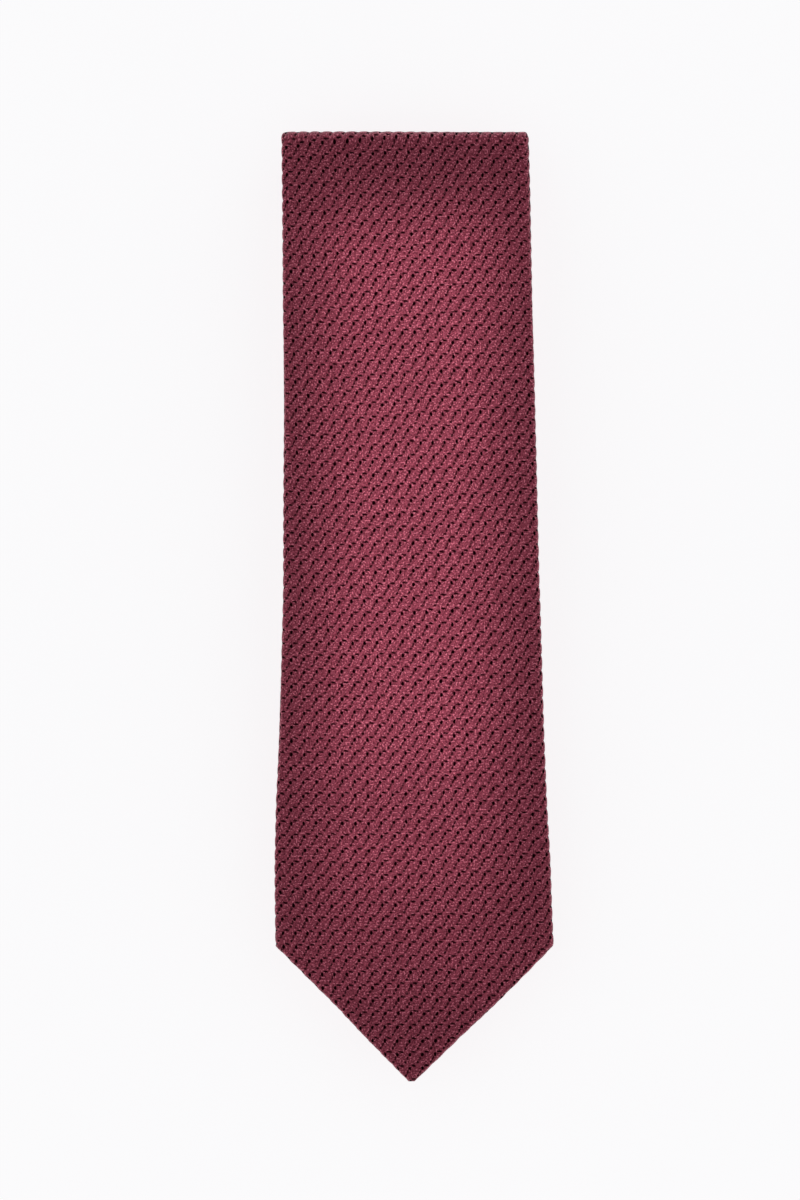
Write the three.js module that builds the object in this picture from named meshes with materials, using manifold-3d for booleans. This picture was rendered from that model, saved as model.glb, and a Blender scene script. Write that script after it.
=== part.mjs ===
// A necktie, folded six deep with the front of its wide blade on top.
//
// The tie is one long flat sleeve of silk, closed down the middle of its back by a slip stitch and filled with
// a wool interlining. It is folded like an accordion. Each flat stretch is a run, each U-turn between two runs
// is a fold, and the tie can be drawn out again by opening the folds.
//
// Millimetres, +X across the tie, +Y from the wide tip towards the front fold, +Z up. The origin is under the
// middle of the folded tie, on the surface that it lies on.

import * as THREE from "three";
import { mergeVertices } from "three/addons/utils/BufferGeometryUtils.js";
import Module from "manifold-3d";

const wasm = await Module();
wasm.setup();

// ---------------------------------------------------------------- driving dimensions

const TIE_LENGTH = 1480; // tip to tip, drawn out flat
const FRONT_LENGTH = 273.4; // wide tip to the crown of the front fold
const BLADE_WIDTH = 80; // at the corners of the wide tip
const FRONT_FOLD_WIDTH = 71; // where the blade goes over the front fold
const NECK_WIDTH = 34; // the narrowest band, round the collar
const TAIL_WIDTH = 46; // at the corners of the narrow tip
const BLADE_TIP_LENGTH = 39; // from the wide tip to its corners
const TAIL_TIP_LENGTH = 22.5; // from the narrow tip to its corners
const TIP_BLUNTNESS = 1.7; // width of the turned point at either tip
const NECK_AT = 860; // wide tip to where the blade has narrowed to the neck
const NECK_END = 1040; // wide tip to where the neck starts to widen to the tail

const SILK = 0.5; // one skin of the shell, hems and turnings counted in
const INTERLINING = 1.0; // the wool inside
const CLOTH_GAP = 0.3; // clearance between two pieces of cloth
const RUN_GAP = 0.4; // between one run and the next
const LOOP_ROOM = 2.0; // between the blade and the run under it, where the keeper loop lies
const UPPER_FOLD_INSET = 1.2; // how far the hidden upper folds stand behind the front fold

const SEAM_GAP = 1.4; // opening between the two turned edges down the back
const THREAD = 0.4; // thickness of every sewing thread
const STITCH_LENGTH = 12; // one zigzag of the slip stitch
const STITCH_SWING = 0.15; // how far the slip stitch swings to each side
const PIECING_GAP = 1.0; // across a diagonal seam, where its thread lies
const BLADE_NECK_SEAM = 113; // from the start of the knot run, along the tie
const NECK_TAIL_SEAM = 106; // from the start of the tail band, along the tie

const BLADE_HEM = 11; // turned silk along the slanted edges of the wide tip
const BLADE_FLAPS_MEET = 104; // from the wide tip to where the back edges meet
const TAIL_HEM = 8;
const TAIL_FLAPS_MEET = 62;
const HEM_AT_CORNER = 10; // silk left beside the tipping at the wide tip's corners
const TAIL_HEM_AT_CORNER = 7;
const TIPPING = 0.3; // thickness of the tipping cloth
const TACK_LENGTH = 7; // a bar tack, across the seam
const TACK_WIDTH = 1.1;

const LOOP_FROM_TIP = 214; // wide tip to the middle of the keeper loop
const LOOP_SPAN = 46; // the loop, across the tie
const LOOP_WIDTH = 12; // the loop, along the tie
const LOOP_FOOT = 5; // how much of each end is sewn down
const LOOP_RISE = 0.6; // the loop's middle over its feet
const LOOP_RAMP = 1.5; // from a foot to the full rise, across the tie
const LOOP_SILK = 0.5;
const LABEL_FROM_TIP = 184; // wide tip to the middle of the woven label
const LABEL_SPAN = 44;
const LABEL_WIDTH = 20;
const CARE_LABEL_FROM_TIP = 158;
const CARE_LABEL_SPAN = 24;
const CARE_LABEL_WIDTH = 14;
const LABEL_THICKNESS = 0.3;
const LABEL_TACK_WIDTH = 0.6;
const LABEL_TACK_INSET = 1.2; // from the label's end to its tack

// ---------------------------------------------------------------- finishes

const finish = (colour, roughness, metalness = 0) => ({ color: colour, roughness, metalness });
const SILK_FINISH = finish(0x86364a, 0.55);
const WOOL_FINISH = finish(0xe9e2d0, 0.95);
const SATIN_FINISH = finish(0x5c1426, 0.35);
const THREAD_FINISH = finish(0x6d2336, 0.6);
const LABEL_FINISH = finish(0x2a2326, 0.5);
const CARE_LABEL_FINISH = finish(0xe8e4dc, 0.6);

// ---------------------------------------------------------------- worked-out sizes

const SLEEVE = INTERLINING + 2 * (CLOTH_GAP + SILK); // one run, front face to back face
const HALF = SLEEVE / 2;
const CAVITY_HALF = HALF - SILK;
const SKIN_MIDDLE = HALF - SILK / 2; // height of the middle of the back skin in a run's own frame
const EDGE_FLAT = 0.2; // the straight part left in every rounded side edge
const BEVEL_STEPS = 2;
const THREAD_SIDES = 6;
const ARC_STEPS = 4; // flat facets in each quarter of a fold
const OVERRUN = 6; // cutters and blanks reach this far past what they cut

const foldRadius = (gap) => (SLEEVE + gap) / 2; // of the middle of the cloth, round a fold
const FRONT_RADIUS = foldRadius(LOOP_ROOM);
const INNER_RADIUS = foldRadius(RUN_GAP);

const FRONT_CROWN = FRONT_LENGTH / 2;
const WIDE_TIP = -FRONT_LENGTH / 2;
const FRONT_TANGENT = FRONT_CROWN - FRONT_RADIUS - HALF; // where the blade starts to turn under
const UPPER_TANGENT = FRONT_CROWN - UPPER_FOLD_INSET - INNER_RADIUS - HALF;
const HIDDEN_RUNS = 5;
const FOLDED_CLOTH = Math.PI * (FRONT_RADIUS + (HIDDEN_RUNS - 1) * INNER_RADIUS);
const HIDDEN_CLOTH = TIE_LENGTH - (FRONT_TANGENT - WIDE_TIP) - FOLDED_CLOTH;
const LOWER_TANGENT =
  (FRONT_TANGENT + (HIDDEN_RUNS - 1) * UPPER_TANGENT - HIDDEN_CLOTH) / HIDDEN_RUNS;

// The tie's width against the distance from the wide tip. Each stage is a share of the way from one driving
// width to the next, so that the bottle shape follows the widths.
const between = (a, b, share) => a + (b - a) * share;
const TAIL_CORNER = TIE_LENGTH - TAIL_TIP_LENGTH;
const FOLD_AT = FRONT_LENGTH;
const WIDTHS = [
  [BLADE_TIP_LENGTH, BLADE_WIDTH],
  [between(BLADE_TIP_LENGTH, FOLD_AT, 0.1), between(BLADE_WIDTH, FRONT_FOLD_WIDTH, 0.08)],
  [between(BLADE_TIP_LENGTH, FOLD_AT, 0.26), between(BLADE_WIDTH, FRONT_FOLD_WIDTH, 0.42)],
  [between(BLADE_TIP_LENGTH, FOLD_AT, 0.45), between(BLADE_WIDTH, FRONT_FOLD_WIDTH, 0.72)],
  [between(BLADE_TIP_LENGTH, FOLD_AT, 0.65), between(BLADE_WIDTH, FRONT_FOLD_WIDTH, 0.86)],
  [FOLD_AT, FRONT_FOLD_WIDTH],
  [between(FOLD_AT, NECK_AT, 0.22), between(FRONT_FOLD_WIDTH, NECK_WIDTH, 0.27)],
  [between(FOLD_AT, NECK_AT, 0.45), between(FRONT_FOLD_WIDTH, NECK_WIDTH, 0.6)],
  [between(FOLD_AT, NECK_AT, 0.68), between(FRONT_FOLD_WIDTH, NECK_WIDTH, 0.84)],
  [NECK_AT, NECK_WIDTH],
  [NECK_END, NECK_WIDTH],
  [between(NECK_END, TAIL_CORNER, 0.5), between(NECK_WIDTH, TAIL_WIDTH, 0.36)],
  [TAIL_CORNER, TAIL_WIDTH],
];

// The tie's width at a distance from the wide tip, leaving the two points out.
function widthAt(distance) {
  const after = WIDTHS.findIndex(([at]) => at >= distance);
  if (after === 0) return WIDTHS[0][1];
  if (after < 0) return WIDTHS[WIDTHS.length - 1][1];
  const [fromAt, fromWidth] = WIDTHS[after - 1];
  const [toAt, toWidth] = WIDTHS[after];
  return between(fromWidth, toWidth, (distance - fromAt) / (toAt - fromAt));
}

// ---------------------------------------------------------------- solids

// A closed geometry as a manifold solid.
function solid(geometry) {
  geometry.deleteAttribute("normal");
  geometry.deleteAttribute("uv");
  const merged = mergeVertices(geometry);
  return new wasm.Manifold(
    new wasm.Mesh({
      numProp: 3,
      vertProperties: new Float32Array(merged.attributes.position.array),
      triVerts: new Uint32Array(merged.index.array),
    }),
  );
}

// A manifold solid as a named mesh.
function mesh(name, body, colours) {
  const { vertProperties, triVerts } = body.getMesh();
  const geometry = new THREE.BufferGeometry();
  geometry.setAttribute("position", new THREE.BufferAttribute(vertProperties, 3));
  geometry.setIndex(new THREE.BufferAttribute(triVerts, 1));
  geometry.computeVertexNormals();
  const made = new THREE.Mesh(geometry, new THREE.MeshStandardMaterial(colours));
  made.name = name;
  return made;
}

// A box given by its lowest and highest corners.
function box([x0, y0, z0], [x1, y1, z1]) {
  const geometry = new THREE.BoxGeometry(x1 - x0, y1 - y0, z1 - z0);
  geometry.translate((x0 + x1) / 2, (y0 + y1) / 2, (z0 + z1) / 2);
  return solid(geometry);
}

// An outline carried through a thickness with a rounded side edge, centred on height 0 and drawn in by inset.
function slab(outline, halfThickness, inset = 0) {
  const round = halfThickness - EDGE_FLAT / 2;
  const geometry = new THREE.ExtrudeGeometry(outline, {
    depth: EDGE_FLAT,
    bevelThickness: round,
    bevelSize: round,
    bevelOffset: -inset - round,
    bevelSegments: BEVEL_STEPS,
  });
  geometry.translate(0, 0, -EDGE_FLAT / 2);
  return geometry;
}

// An outline carried straight up from one height to another.
function plate(points, bottom, top) {
  const shape = new THREE.Shape(points.map(([x, y]) => new THREE.Vector2(x, y)));
  const geometry = new THREE.ExtrudeGeometry(shape, { depth: top - bottom, bevelEnabled: false });
  geometry.translate(0, 0, bottom);
  return solid(geometry);
}

// A thread along a curve.
function thread(curve, steps) {
  const section = new THREE.Shape();
  section.absarc(0, 0, THREAD / 2, 0, 2 * Math.PI);
  return solid(
    new THREE.ExtrudeGeometry(section, {
      steps,
      curveSegments: THREAD_SIDES / 2,
      bevelEnabled: false,
      extrudePath: curve,
    }),
  );
}

// ---------------------------------------------------------------- the route through the folds

// Every run from the blade, on top, to the tail, at the bottom. at is the distance from the wide tip to
// the end where the run starts, and towards is the way that the distance grows, +1 for +Y.
const RUN_NAMES = ["blade", "taper", "knot", "collar", "tail_band", "tail"];
const FOLD_NAMES = ["front_fold", "taper_fold", "knot_fold", "collar_fold", "tail_fold"];

function layOut() {
  const pitch = SLEEVE + RUN_GAP;
  const bladeMiddle = HALF + (HIDDEN_RUNS - 1) * pitch + SLEEVE + LOOP_ROOM;
  const runs = [{ name: "blade", at: 0, from: WIDE_TIP, to: FRONT_TANGENT, towards: 1, middle: bladeMiddle }];
  const folds = [];
  for (let i = 1; i < RUN_NAMES.length; i += 1) {
    const above = runs[i - 1];
    const radius = i === 1 ? FRONT_RADIUS : INNER_RADIUS;
    const middle = above.middle - 2 * radius;
    const foldAt = above.at + Math.abs(above.to - above.from);
    folds.push({
      name: FOLD_NAMES[i - 1],
      tangent: above.to,
      side: above.towards,
      middle: (above.middle + middle) / 2,
      radius,
      width: widthAt(foldAt + (Math.PI * radius) / 2),
    });
    runs.push({
      name: RUN_NAMES[i],
      at: foldAt + Math.PI * radius,
      from: above.to,
      to: above.towards > 0 ? LOWER_TANGENT : UPPER_TANGENT,
      towards: -above.towards,
      middle,
    });
  }
  return { runs, folds };
}

// The blade's back faces down, the next run's back faces up, and so on by turns.
const backIsUp = (run) => run.towards < 0;
const distanceAlong = (run, y) => run.at + (y - run.from) * run.towards;
const placeAlong = (run, distance) => run.from + (distance - run.at) * run.towards;

// ---------------------------------------------------------------- runs

// The two pointed ends: where the point is, its corners, its hems, and where the back edges meet.
const TIPS = {
  blade: {
    at: WIDE_TIP,
    halfWidth: BLADE_WIDTH / 2,
    length: BLADE_TIP_LENGTH,
    hem: BLADE_HEM,
    cornerHem: HEM_AT_CORNER,
    meet: BLADE_FLAPS_MEET,
  },
  tail: {
    at: LOWER_TANGENT,
    halfWidth: TAIL_WIDTH / 2,
    length: TAIL_TIP_LENGTH,
    hem: TAIL_HEM,
    cornerHem: TAIL_HEM_AT_CORNER,
    meet: TAIL_FLAPS_MEET,
  },
};

// A run's outline as seen from above. A tip run starts or ends in its blunt point, and an end at a fold is
// drawn OVERRUN too long, to be cut off square.
function runOutline(run) {
  const low = Math.min(run.from, run.to);
  const high = Math.max(run.from, run.to);
  const side = [];
  const tip = TIPS[run.name];
  if (tip) {
    side.push([TIP_BLUNTNESS / 2, tip.at]);
    side.push([tip.halfWidth, tip.at + tip.length]);
  } else {
    side.push([widthAt(distanceAlong(run, low)) / 2, low - OVERRUN]);
  }
  const start = side[side.length - 1][1];
  const stages = WIDTHS.map(([at]) => placeAlong(run, at)).filter((y) => y > start + 1 && y < high - 1);
  stages.sort((a, b) => a - b);
  stages.forEach((y) => side.push([widthAt(distanceAlong(run, y)) / 2, y]));
  side.push([widthAt(distanceAlong(run, high)) / 2, high + OVERRUN]);
  const otherSide = side.map(([x, y]) => [-x, y]).reverse();
  return new THREE.Shape([...side, ...otherSide].map(([x, y]) => new THREE.Vector2(x, y)));
}

// The block that keeps a run between its folds, with the gap to each fold left off.
function runKeeper(run, endGap) {
  const low = Math.min(run.from, run.to);
  const high = Math.max(run.from, run.to);
  const reach = BLADE_WIDTH + TAIL_WIDTH;
  const bottom = TIPS[run.name] ? low - OVERRUN : low + endGap;
  return box([-reach, bottom, -SLEEVE], [reach, high - endGap, SLEEVE]);
}

// The opening in the back at a tip, where the tipping shows: a kite from the hem to where the flaps meet,
// drawn in all round by about the clearance.
function tippingOutline(tip, clearance = 0) {
  const drawnIn = clearance * Math.SQRT2;
  const side = tip.halfWidth - tip.cornerHem - drawnIn;
  const widest = tip.at + tip.length + tip.hem / 2;
  return [
    [0, tip.at + tip.hem * Math.SQRT2 + drawnIn],
    [side, widest],
    [0, tip.at + tip.meet - 2 * clearance],
    [-side, widest],
  ];
}

// The silk of a run: a flat sleeve, open down the middle of its back, and open over the tipping.
function runShell(run) {
  const outline = runOutline(run);
  const low = Math.min(run.from, run.to) - 2 * OVERRUN;
  const high = Math.max(run.from, run.to) + 2 * OVERRUN;
  const tip = TIPS[run.name];
  const seamStart = tip ? tip.at + tip.meet - OVERRUN : low;
  const seam = box([-SEAM_GAP / 2, seamStart, 0], [SEAM_GAP / 2, high, SLEEVE]);
  let shell = solid(slab(outline, HALF))
    .subtract(solid(slab(outline, CAVITY_HALF, SILK)))
    .intersect(runKeeper(run, CLOTH_GAP))
    .subtract(seam);
  if (tip) {
    shell = shell.subtract(plate(tippingOutline(tip), 0, SLEEVE)).subtract(barTack(tip, CLOTH_GAP));
  }
  return shell;
}

const tackPlace = (tip) => tip.at + tip.meet + CLOTH_GAP + TACK_WIDTH / 2;

// A bar tack across the seam, sunk into the back skin just past where the flaps meet. With a clearance it is
// the pocket that the tack lies in.
function barTack(tip, clearance = 0) {
  const x = TACK_LENGTH / 2 + clearance;
  const y = TACK_WIDTH / 2 + clearance;
  const z = THREAD / 2 + clearance;
  const middle = tackPlace(tip);
  return box([-x, middle - y, SKIN_MIDDLE - z], [x, middle + y, SKIN_MIDDLE + z]);
}

// The wool inside a run, with its gap to the silk all round.
function runInterlining(run) {
  return solid(slab(runOutline(run), INTERLINING / 2, SILK + CLOTH_GAP)).intersect(runKeeper(run, CLOTH_GAP));
}

// The slip stitch: a thread that swings from side to side in the opening down the back.
function slipStitch(run) {
  const low = Math.min(run.from, run.to);
  const high = Math.max(run.from, run.to) - CLOTH_GAP;
  const tip = TIPS[run.name];
  const start = tip ? tackPlace(tip) + TACK_WIDTH / 2 + 2 * CLOTH_GAP : low + CLOTH_GAP;
  const swings = Math.max(2, Math.round((2 * (high - start)) / STITCH_LENGTH));
  const points = Array.from({ length: swings + 1 }, (_, i) => {
    const x = i % 2 ? STITCH_SWING : -STITCH_SWING;
    return new THREE.Vector3(x, between(start, high, i / swings), SKIN_MIDDLE);
  });
  return thread(new THREE.CatmullRomCurve3(points), swings);
}

// ---------------------------------------------------------------- diagonal piecing seams

// A block that crosses a run at 45 degrees, from one distance to another beyond a point on its middle line.
function slantedBlock(y, near, far) {
  const reach = 2 * FRONT_LENGTH;
  const block = new THREE.BoxGeometry(reach, far - near, 4 * SLEEVE);
  block.translate(0, (near + far) / 2, 0);
  block.rotateZ(Math.PI / 4);
  block.translate(0, y, 0);
  return solid(block);
}

// The part of a run's silk on one side of a seam. way is +1 for the +Y side.
function pieceBeyond(shell, y, way) {
  const near = PIECING_GAP / 2;
  const far = 2 * FRONT_LENGTH;
  return shell.intersect(way > 0 ? slantedBlock(y, near, far) : slantedBlock(y, -far, -near));
}

// The seam's thread: it runs round the sleeve in the middle of the skin, climbing at 45 degrees, from one
// side of the back opening to the other.
function piecingThread(run, y) {
  const outline = runOutline(run);
  const skin = SILK / 2;
  const outside = solid(slab(outline, SKIN_MIDDLE + THREAD / 2, skin - THREAD / 2));
  const inside = solid(slab(outline, SKIN_MIDDLE - THREAD / 2, skin + THREAD / 2));
  const clear = SEAM_GAP / 2 + CLOTH_GAP;
  const reach = 2 * FRONT_LENGTH;
  return outside
    .subtract(inside)
    .intersect(slantedBlock(y, -THREAD / 2, THREAD / 2))
    .subtract(box([-clear, -reach, 0], [clear, reach, SLEEVE]));
}

// ---------------------------------------------------------------- folds

// A half ring in the plane of Y and Z that bulges towards +Y, from one radius to another.
function halfRing(inner, outer) {
  const shape = new THREE.Shape();
  shape.moveTo(-OVERRUN, -outer);
  shape.lineTo(0, -outer);
  shape.absarc(0, 0, outer, -Math.PI / 2, Math.PI / 2, false);
  shape.lineTo(-OVERRUN, outer);
  shape.lineTo(-OVERRUN, inner);
  shape.lineTo(0, inner);
  shape.absarc(0, 0, inner, Math.PI / 2, -Math.PI / 2, true);
  shape.lineTo(-OVERRUN, -inner);
  return shape;
}

// Cloth that turns back on itself: a half ring of one thickness carried across a width, with the side edges
// rounded as a run's are.
function turn(fold, halfThickness) {
  const round = halfThickness - EDGE_FLAT / 2;
  const inset = HALF - halfThickness;
  const span = fold.width - 2 * inset;
  const ring = halfRing(fold.radius - halfThickness, fold.radius + halfThickness);
  const geometry = new THREE.ExtrudeGeometry(ring, {
    depth: span - 2 * round,
    curveSegments: ARC_STEPS,
    bevelThickness: round,
    bevelSize: round,
    bevelOffset: -round,
    bevelSegments: BEVEL_STEPS,
  });
  geometry.translate(0, 0, -(span - 2 * round) / 2);
  const acrossTie = new THREE.Matrix4().makeBasis(
    new THREE.Vector3(0, 1, 0),
    new THREE.Vector3(0, 0, 1),
    new THREE.Vector3(1, 0, 0),
  );
  geometry.applyMatrix4(acrossTie);
  return solid(geometry);
}

function foldKeeper(fold) {
  const reach = fold.width + OVERRUN;
  const height = fold.radius + SLEEVE;
  return box([-reach, 0, -height], [reach, fold.radius + SLEEVE, height]);
}

const foldShell = (fold) =>
  turn(fold, HALF).subtract(turn(fold, CAVITY_HALF)).intersect(foldKeeper(fold));
const foldInterlining = (fold) => turn(fold, INTERLINING / 2).intersect(foldKeeper(fold));

// ---------------------------------------------------------------- trim on the backs of the tips

// A flat rectangle on the back of a run, at a height over the back face.
function backPatch(middleY, span, width, over, thickness) {
  const bottom = HALF + over;
  return box([-span / 2, middleY - width / 2, bottom], [span / 2, middleY + width / 2, bottom + thickness]);
}

// The keeper loop: a strip whose two feet lie on the back and whose middle stands clear of it.
function keeperLoop(middleY) {
  const foot = HALF + CLOTH_GAP;
  const raised = foot + LOOP_RISE;
  const end = LOOP_SPAN / 2;
  const bend = end - LOOP_FOOT;
  const profile = [
    [end, foot],
    [end, foot + LOOP_SILK],
    [bend, foot + LOOP_SILK],
    [bend - LOOP_RAMP, raised + LOOP_SILK],
  ];
  const underside = [
    [bend - LOOP_RAMP, raised],
    [bend, foot],
  ];
  const mirrored = (points) => points.map(([x, z]) => [-x, z]).reverse();
  const outline = [...profile, ...mirrored(profile), ...mirrored(underside), ...underside];
  const shape = new THREE.Shape(outline.map(([x, z]) => new THREE.Vector2(x, z)));
  const geometry = new THREE.ExtrudeGeometry(shape, { depth: LOOP_WIDTH, bevelEnabled: false });
  geometry.rotateX(Math.PI / 2);
  geometry.translate(0, middleY + LOOP_WIDTH / 2, 0);
  return solid(geometry);
}

// A tack along one end of a strip or label on the back. way is +1 or -1 for the end at +X or -X.
function endTack(way, middleY, span, width, over, inset) {
  const tack = box(
    [-LABEL_TACK_WIDTH / 2, -width / 2 + inset, 0],
    [LABEL_TACK_WIDTH / 2, width / 2 - inset, THREAD / 2],
  );
  return tack.translate([way * (span / 2 - inset), middleY, HALF + over]);
}

// ---------------------------------------------------------------- assembly

const { runs, folds } = layOut();
const tie = new THREE.Group();

// A run's own group, with its back towards +Z.
function groupFor(run) {
  const group = new THREE.Group();
  group.position.set(0, 0, run.middle);
  if (!backIsUp(run)) group.rotation.y = Math.PI;
  tie.add(group);
  return group;
}

const SEAMS = {
  knot: {
    into: BLADE_NECK_SEAM,
    name: "blade_neck_seam",
    before: "knot_blade_shell",
    after: "knot_neck_shell",
  },
  tail_band: {
    into: NECK_TAIL_SEAM,
    name: "neck_tail_seam",
    before: "tail_band_neck_shell",
    after: "tail_band_tail_shell",
  },
};

for (const run of runs) {
  const group = groupFor(run);
  const shell = runShell(run);
  const seam = SEAMS[run.name];
  if (seam) {
    const y = placeAlong(run, run.at + seam.into);
    group.add(mesh(seam.before, pieceBeyond(shell, y, -run.towards), SILK_FINISH));
    group.add(mesh(seam.after, pieceBeyond(shell, y, run.towards), SILK_FINISH));
    group.add(mesh(seam.name, piecingThread(run, y), THREAD_FINISH));
  } else {
    group.add(mesh(`${run.name}_shell`, shell, SILK_FINISH));
  }
  group.add(mesh(`${run.name}_interlining`, runInterlining(run), WOOL_FINISH));
  group.add(mesh(`${run.name}_slip_stitch`, slipStitch(run), THREAD_FINISH));
  const tip = TIPS[run.name];
  if (tip) {
    const bottom = SKIN_MIDDLE - TIPPING / 2;
    const tipping = plate(tippingOutline(tip, CLOTH_GAP), bottom, bottom + TIPPING);
    group.add(mesh(`${run.name}_tipping`, tipping, SATIN_FINISH));
    group.add(mesh(`${run.name}_bar_tack`, barTack(tip), THREAD_FINISH));
  }
  if (run.name === "blade") {
    addBladeTrim(group);
  }
}

for (const fold of folds) {
  const group = new THREE.Group();
  group.position.set(0, fold.tangent, fold.middle);
  if (fold.side < 0) group.rotation.z = Math.PI;
  group.add(mesh(`${fold.name}_shell`, foldShell(fold), SILK_FINISH));
  group.add(mesh(`${fold.name}_interlining`, foldInterlining(fold), WOOL_FINISH));
  tie.add(group);
}

// The keeper loop that holds the tail, and two blank labels, on the blade's back.
function addBladeTrim(group) {
  const loopY = WIDE_TIP + LOOP_FROM_TIP;
  const labelY = WIDE_TIP + LABEL_FROM_TIP;
  const careY = WIDE_TIP + CARE_LABEL_FROM_TIP;
  group.add(mesh("keeper_loop", keeperLoop(loopY), SILK_FINISH));
  const label = backPatch(labelY, LABEL_SPAN, LABEL_WIDTH, CLOTH_GAP, LABEL_THICKNESS);
  group.add(mesh("woven_label", label, LABEL_FINISH));
  const careLabel = backPatch(careY, CARE_LABEL_SPAN, CARE_LABEL_WIDTH, CLOTH_GAP, LABEL_THICKNESS);
  group.add(mesh("care_label", careLabel, CARE_LABEL_FINISH));
  const loopTop = CLOTH_GAP + LOOP_SILK + CLOTH_GAP;
  const labelTop = CLOTH_GAP + LABEL_THICKNESS + CLOTH_GAP;
  for (const [side, way] of [["left", -1], ["right", 1]]) {
    const loopTack = endTack(way, loopY, LOOP_SPAN, LOOP_WIDTH, loopTop, LOOP_FOOT / 2);
    group.add(mesh(`keeper_loop_${side}_tack`, loopTack, THREAD_FINISH));
    const labelTack = endTack(way, labelY, LABEL_SPAN, LABEL_WIDTH, labelTop, LABEL_TACK_INSET);
    group.add(mesh(`woven_label_${side}_tack`, labelTack, THREAD_FINISH));
    const careTack = endTack(way, careY, CARE_LABEL_SPAN, CARE_LABEL_WIDTH, labelTop, LABEL_TACK_INSET);
    group.add(mesh(`care_label_${side}_tack`, careTack, THREAD_FINISH));
  }
}

export default tie;
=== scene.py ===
"""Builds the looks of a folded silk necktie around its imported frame.

The tie lies flat, folded in six layers like an accordion, with its wide blade on top. One path runs along
the tie from the wide tip, through the five folds, to the narrow tip. Every soft piece is worked out as
"so far along the tie, so far across it, so far towards its front face", and the path places it.
"""

import logging
import math
from dataclasses import dataclass, field
from enum import Enum
from typing import Any

import bpy
import numpy as np
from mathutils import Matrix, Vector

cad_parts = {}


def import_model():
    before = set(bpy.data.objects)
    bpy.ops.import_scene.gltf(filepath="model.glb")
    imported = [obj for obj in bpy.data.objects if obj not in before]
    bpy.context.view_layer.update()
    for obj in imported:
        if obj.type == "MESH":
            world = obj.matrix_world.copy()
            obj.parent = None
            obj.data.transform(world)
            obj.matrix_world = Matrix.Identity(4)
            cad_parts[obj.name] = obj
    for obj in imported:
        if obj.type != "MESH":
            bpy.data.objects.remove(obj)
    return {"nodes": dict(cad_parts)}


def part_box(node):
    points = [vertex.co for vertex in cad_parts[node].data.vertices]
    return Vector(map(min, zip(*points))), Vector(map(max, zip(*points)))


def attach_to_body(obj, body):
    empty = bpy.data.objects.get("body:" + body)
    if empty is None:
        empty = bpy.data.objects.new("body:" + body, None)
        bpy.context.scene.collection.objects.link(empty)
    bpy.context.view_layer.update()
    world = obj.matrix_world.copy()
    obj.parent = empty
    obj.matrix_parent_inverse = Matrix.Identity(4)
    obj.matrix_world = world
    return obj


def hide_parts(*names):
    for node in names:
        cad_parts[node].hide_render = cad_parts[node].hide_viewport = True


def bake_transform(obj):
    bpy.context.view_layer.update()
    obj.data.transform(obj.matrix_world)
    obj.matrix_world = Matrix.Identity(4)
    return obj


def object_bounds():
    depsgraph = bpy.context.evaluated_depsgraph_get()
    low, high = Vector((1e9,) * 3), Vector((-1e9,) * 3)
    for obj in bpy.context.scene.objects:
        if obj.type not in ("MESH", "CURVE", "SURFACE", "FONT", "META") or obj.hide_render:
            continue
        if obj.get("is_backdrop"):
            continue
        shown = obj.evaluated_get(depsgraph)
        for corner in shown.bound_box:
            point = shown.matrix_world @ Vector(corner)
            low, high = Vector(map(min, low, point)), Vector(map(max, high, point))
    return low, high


MM = 0.001
LOG = logging.getLogger("necktie")
CLOTH_MAP = "cloth"
SHARP_DEG = 62.0


# ---------------------------------------------------------------------------------------------------------
# Names
# ---------------------------------------------------------------------------------------------------------


class Slot(Enum):
    """The record's material slots. A label's slot and its CAD node share a name."""

    SILK = "silk"
    INTERLINING = "wool_interlining"
    TIPPING = "satin_tipping"
    THREAD = "sewing_thread"
    WOVEN_LABEL = "woven_label"
    CARE_LABEL = "care_label"


# ---------------------------------------------------------------------------------------------------------
# Shader expressions
# ---------------------------------------------------------------------------------------------------------


class Wire:
    """A number that flows through a material, so that sums on it add their Math nodes."""

    def __init__(self, graph: "Graph", socket: bpy.types.NodeSocket) -> None:
        """Wraps one output socket of a graph."""
        self.graph = graph
        self.socket = socket

    def _math(self, operation: str, first: Any, second: Any) -> "Wire":
        """Adds one Math node.

        Args:
            operation: the Math node's operation.
            first: a number or a wire.
            second: a number or a wire.

        Returns:
            The result as a wire.
        """
        return self.graph.node("ShaderNodeMath", {"operation": operation}, {0: first, 1: second})

    def __add__(self, other: Any) -> "Wire":
        """This plus other."""
        return self._math("ADD", self, other)

    def __radd__(self, other: Any) -> "Wire":
        """Other plus this."""
        return self._math("ADD", other, self)

    def __sub__(self, other: Any) -> "Wire":
        """This minus other."""
        return self._math("SUBTRACT", self, other)

    def __rsub__(self, other: Any) -> "Wire":
        """Other minus this."""
        return self._math("SUBTRACT", other, self)

    def __mul__(self, other: Any) -> "Wire":
        """This times other."""
        return self._math("MULTIPLY", self, other)

    def __rmul__(self, other: Any) -> "Wire":
        """Other times this."""
        return self._math("MULTIPLY", other, self)

    def larger(self, other: Any) -> "Wire":
        """The larger of this and other."""
        return self._math("MAXIMUM", self, other)

    def smaller(self, other: Any) -> "Wire":
        """The smaller of this and other."""
        return self._math("MINIMUM", self, other)

    def size(self) -> "Wire":
        """This without its sign."""
        return self._math("ABSOLUTE", self, 0.0)

    def wave(self) -> "Wire":
        """The sine of this, in radians."""
        return self._math("SINE", self, 0.0)

    def eased(self, low: float, high: float, start: float = 0.0, end: float = 1.0) -> "Wire":
        """Maps low to high onto start to end with a smooth step, held beyond both."""
        ranges = {"Value": self, "From Min": low, "From Max": high, "To Min": start, "To Max": end}
        return self.graph.node("ShaderNodeMapRange", {"interpolation_type": "SMOOTHSTEP"}, ranges)


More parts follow.
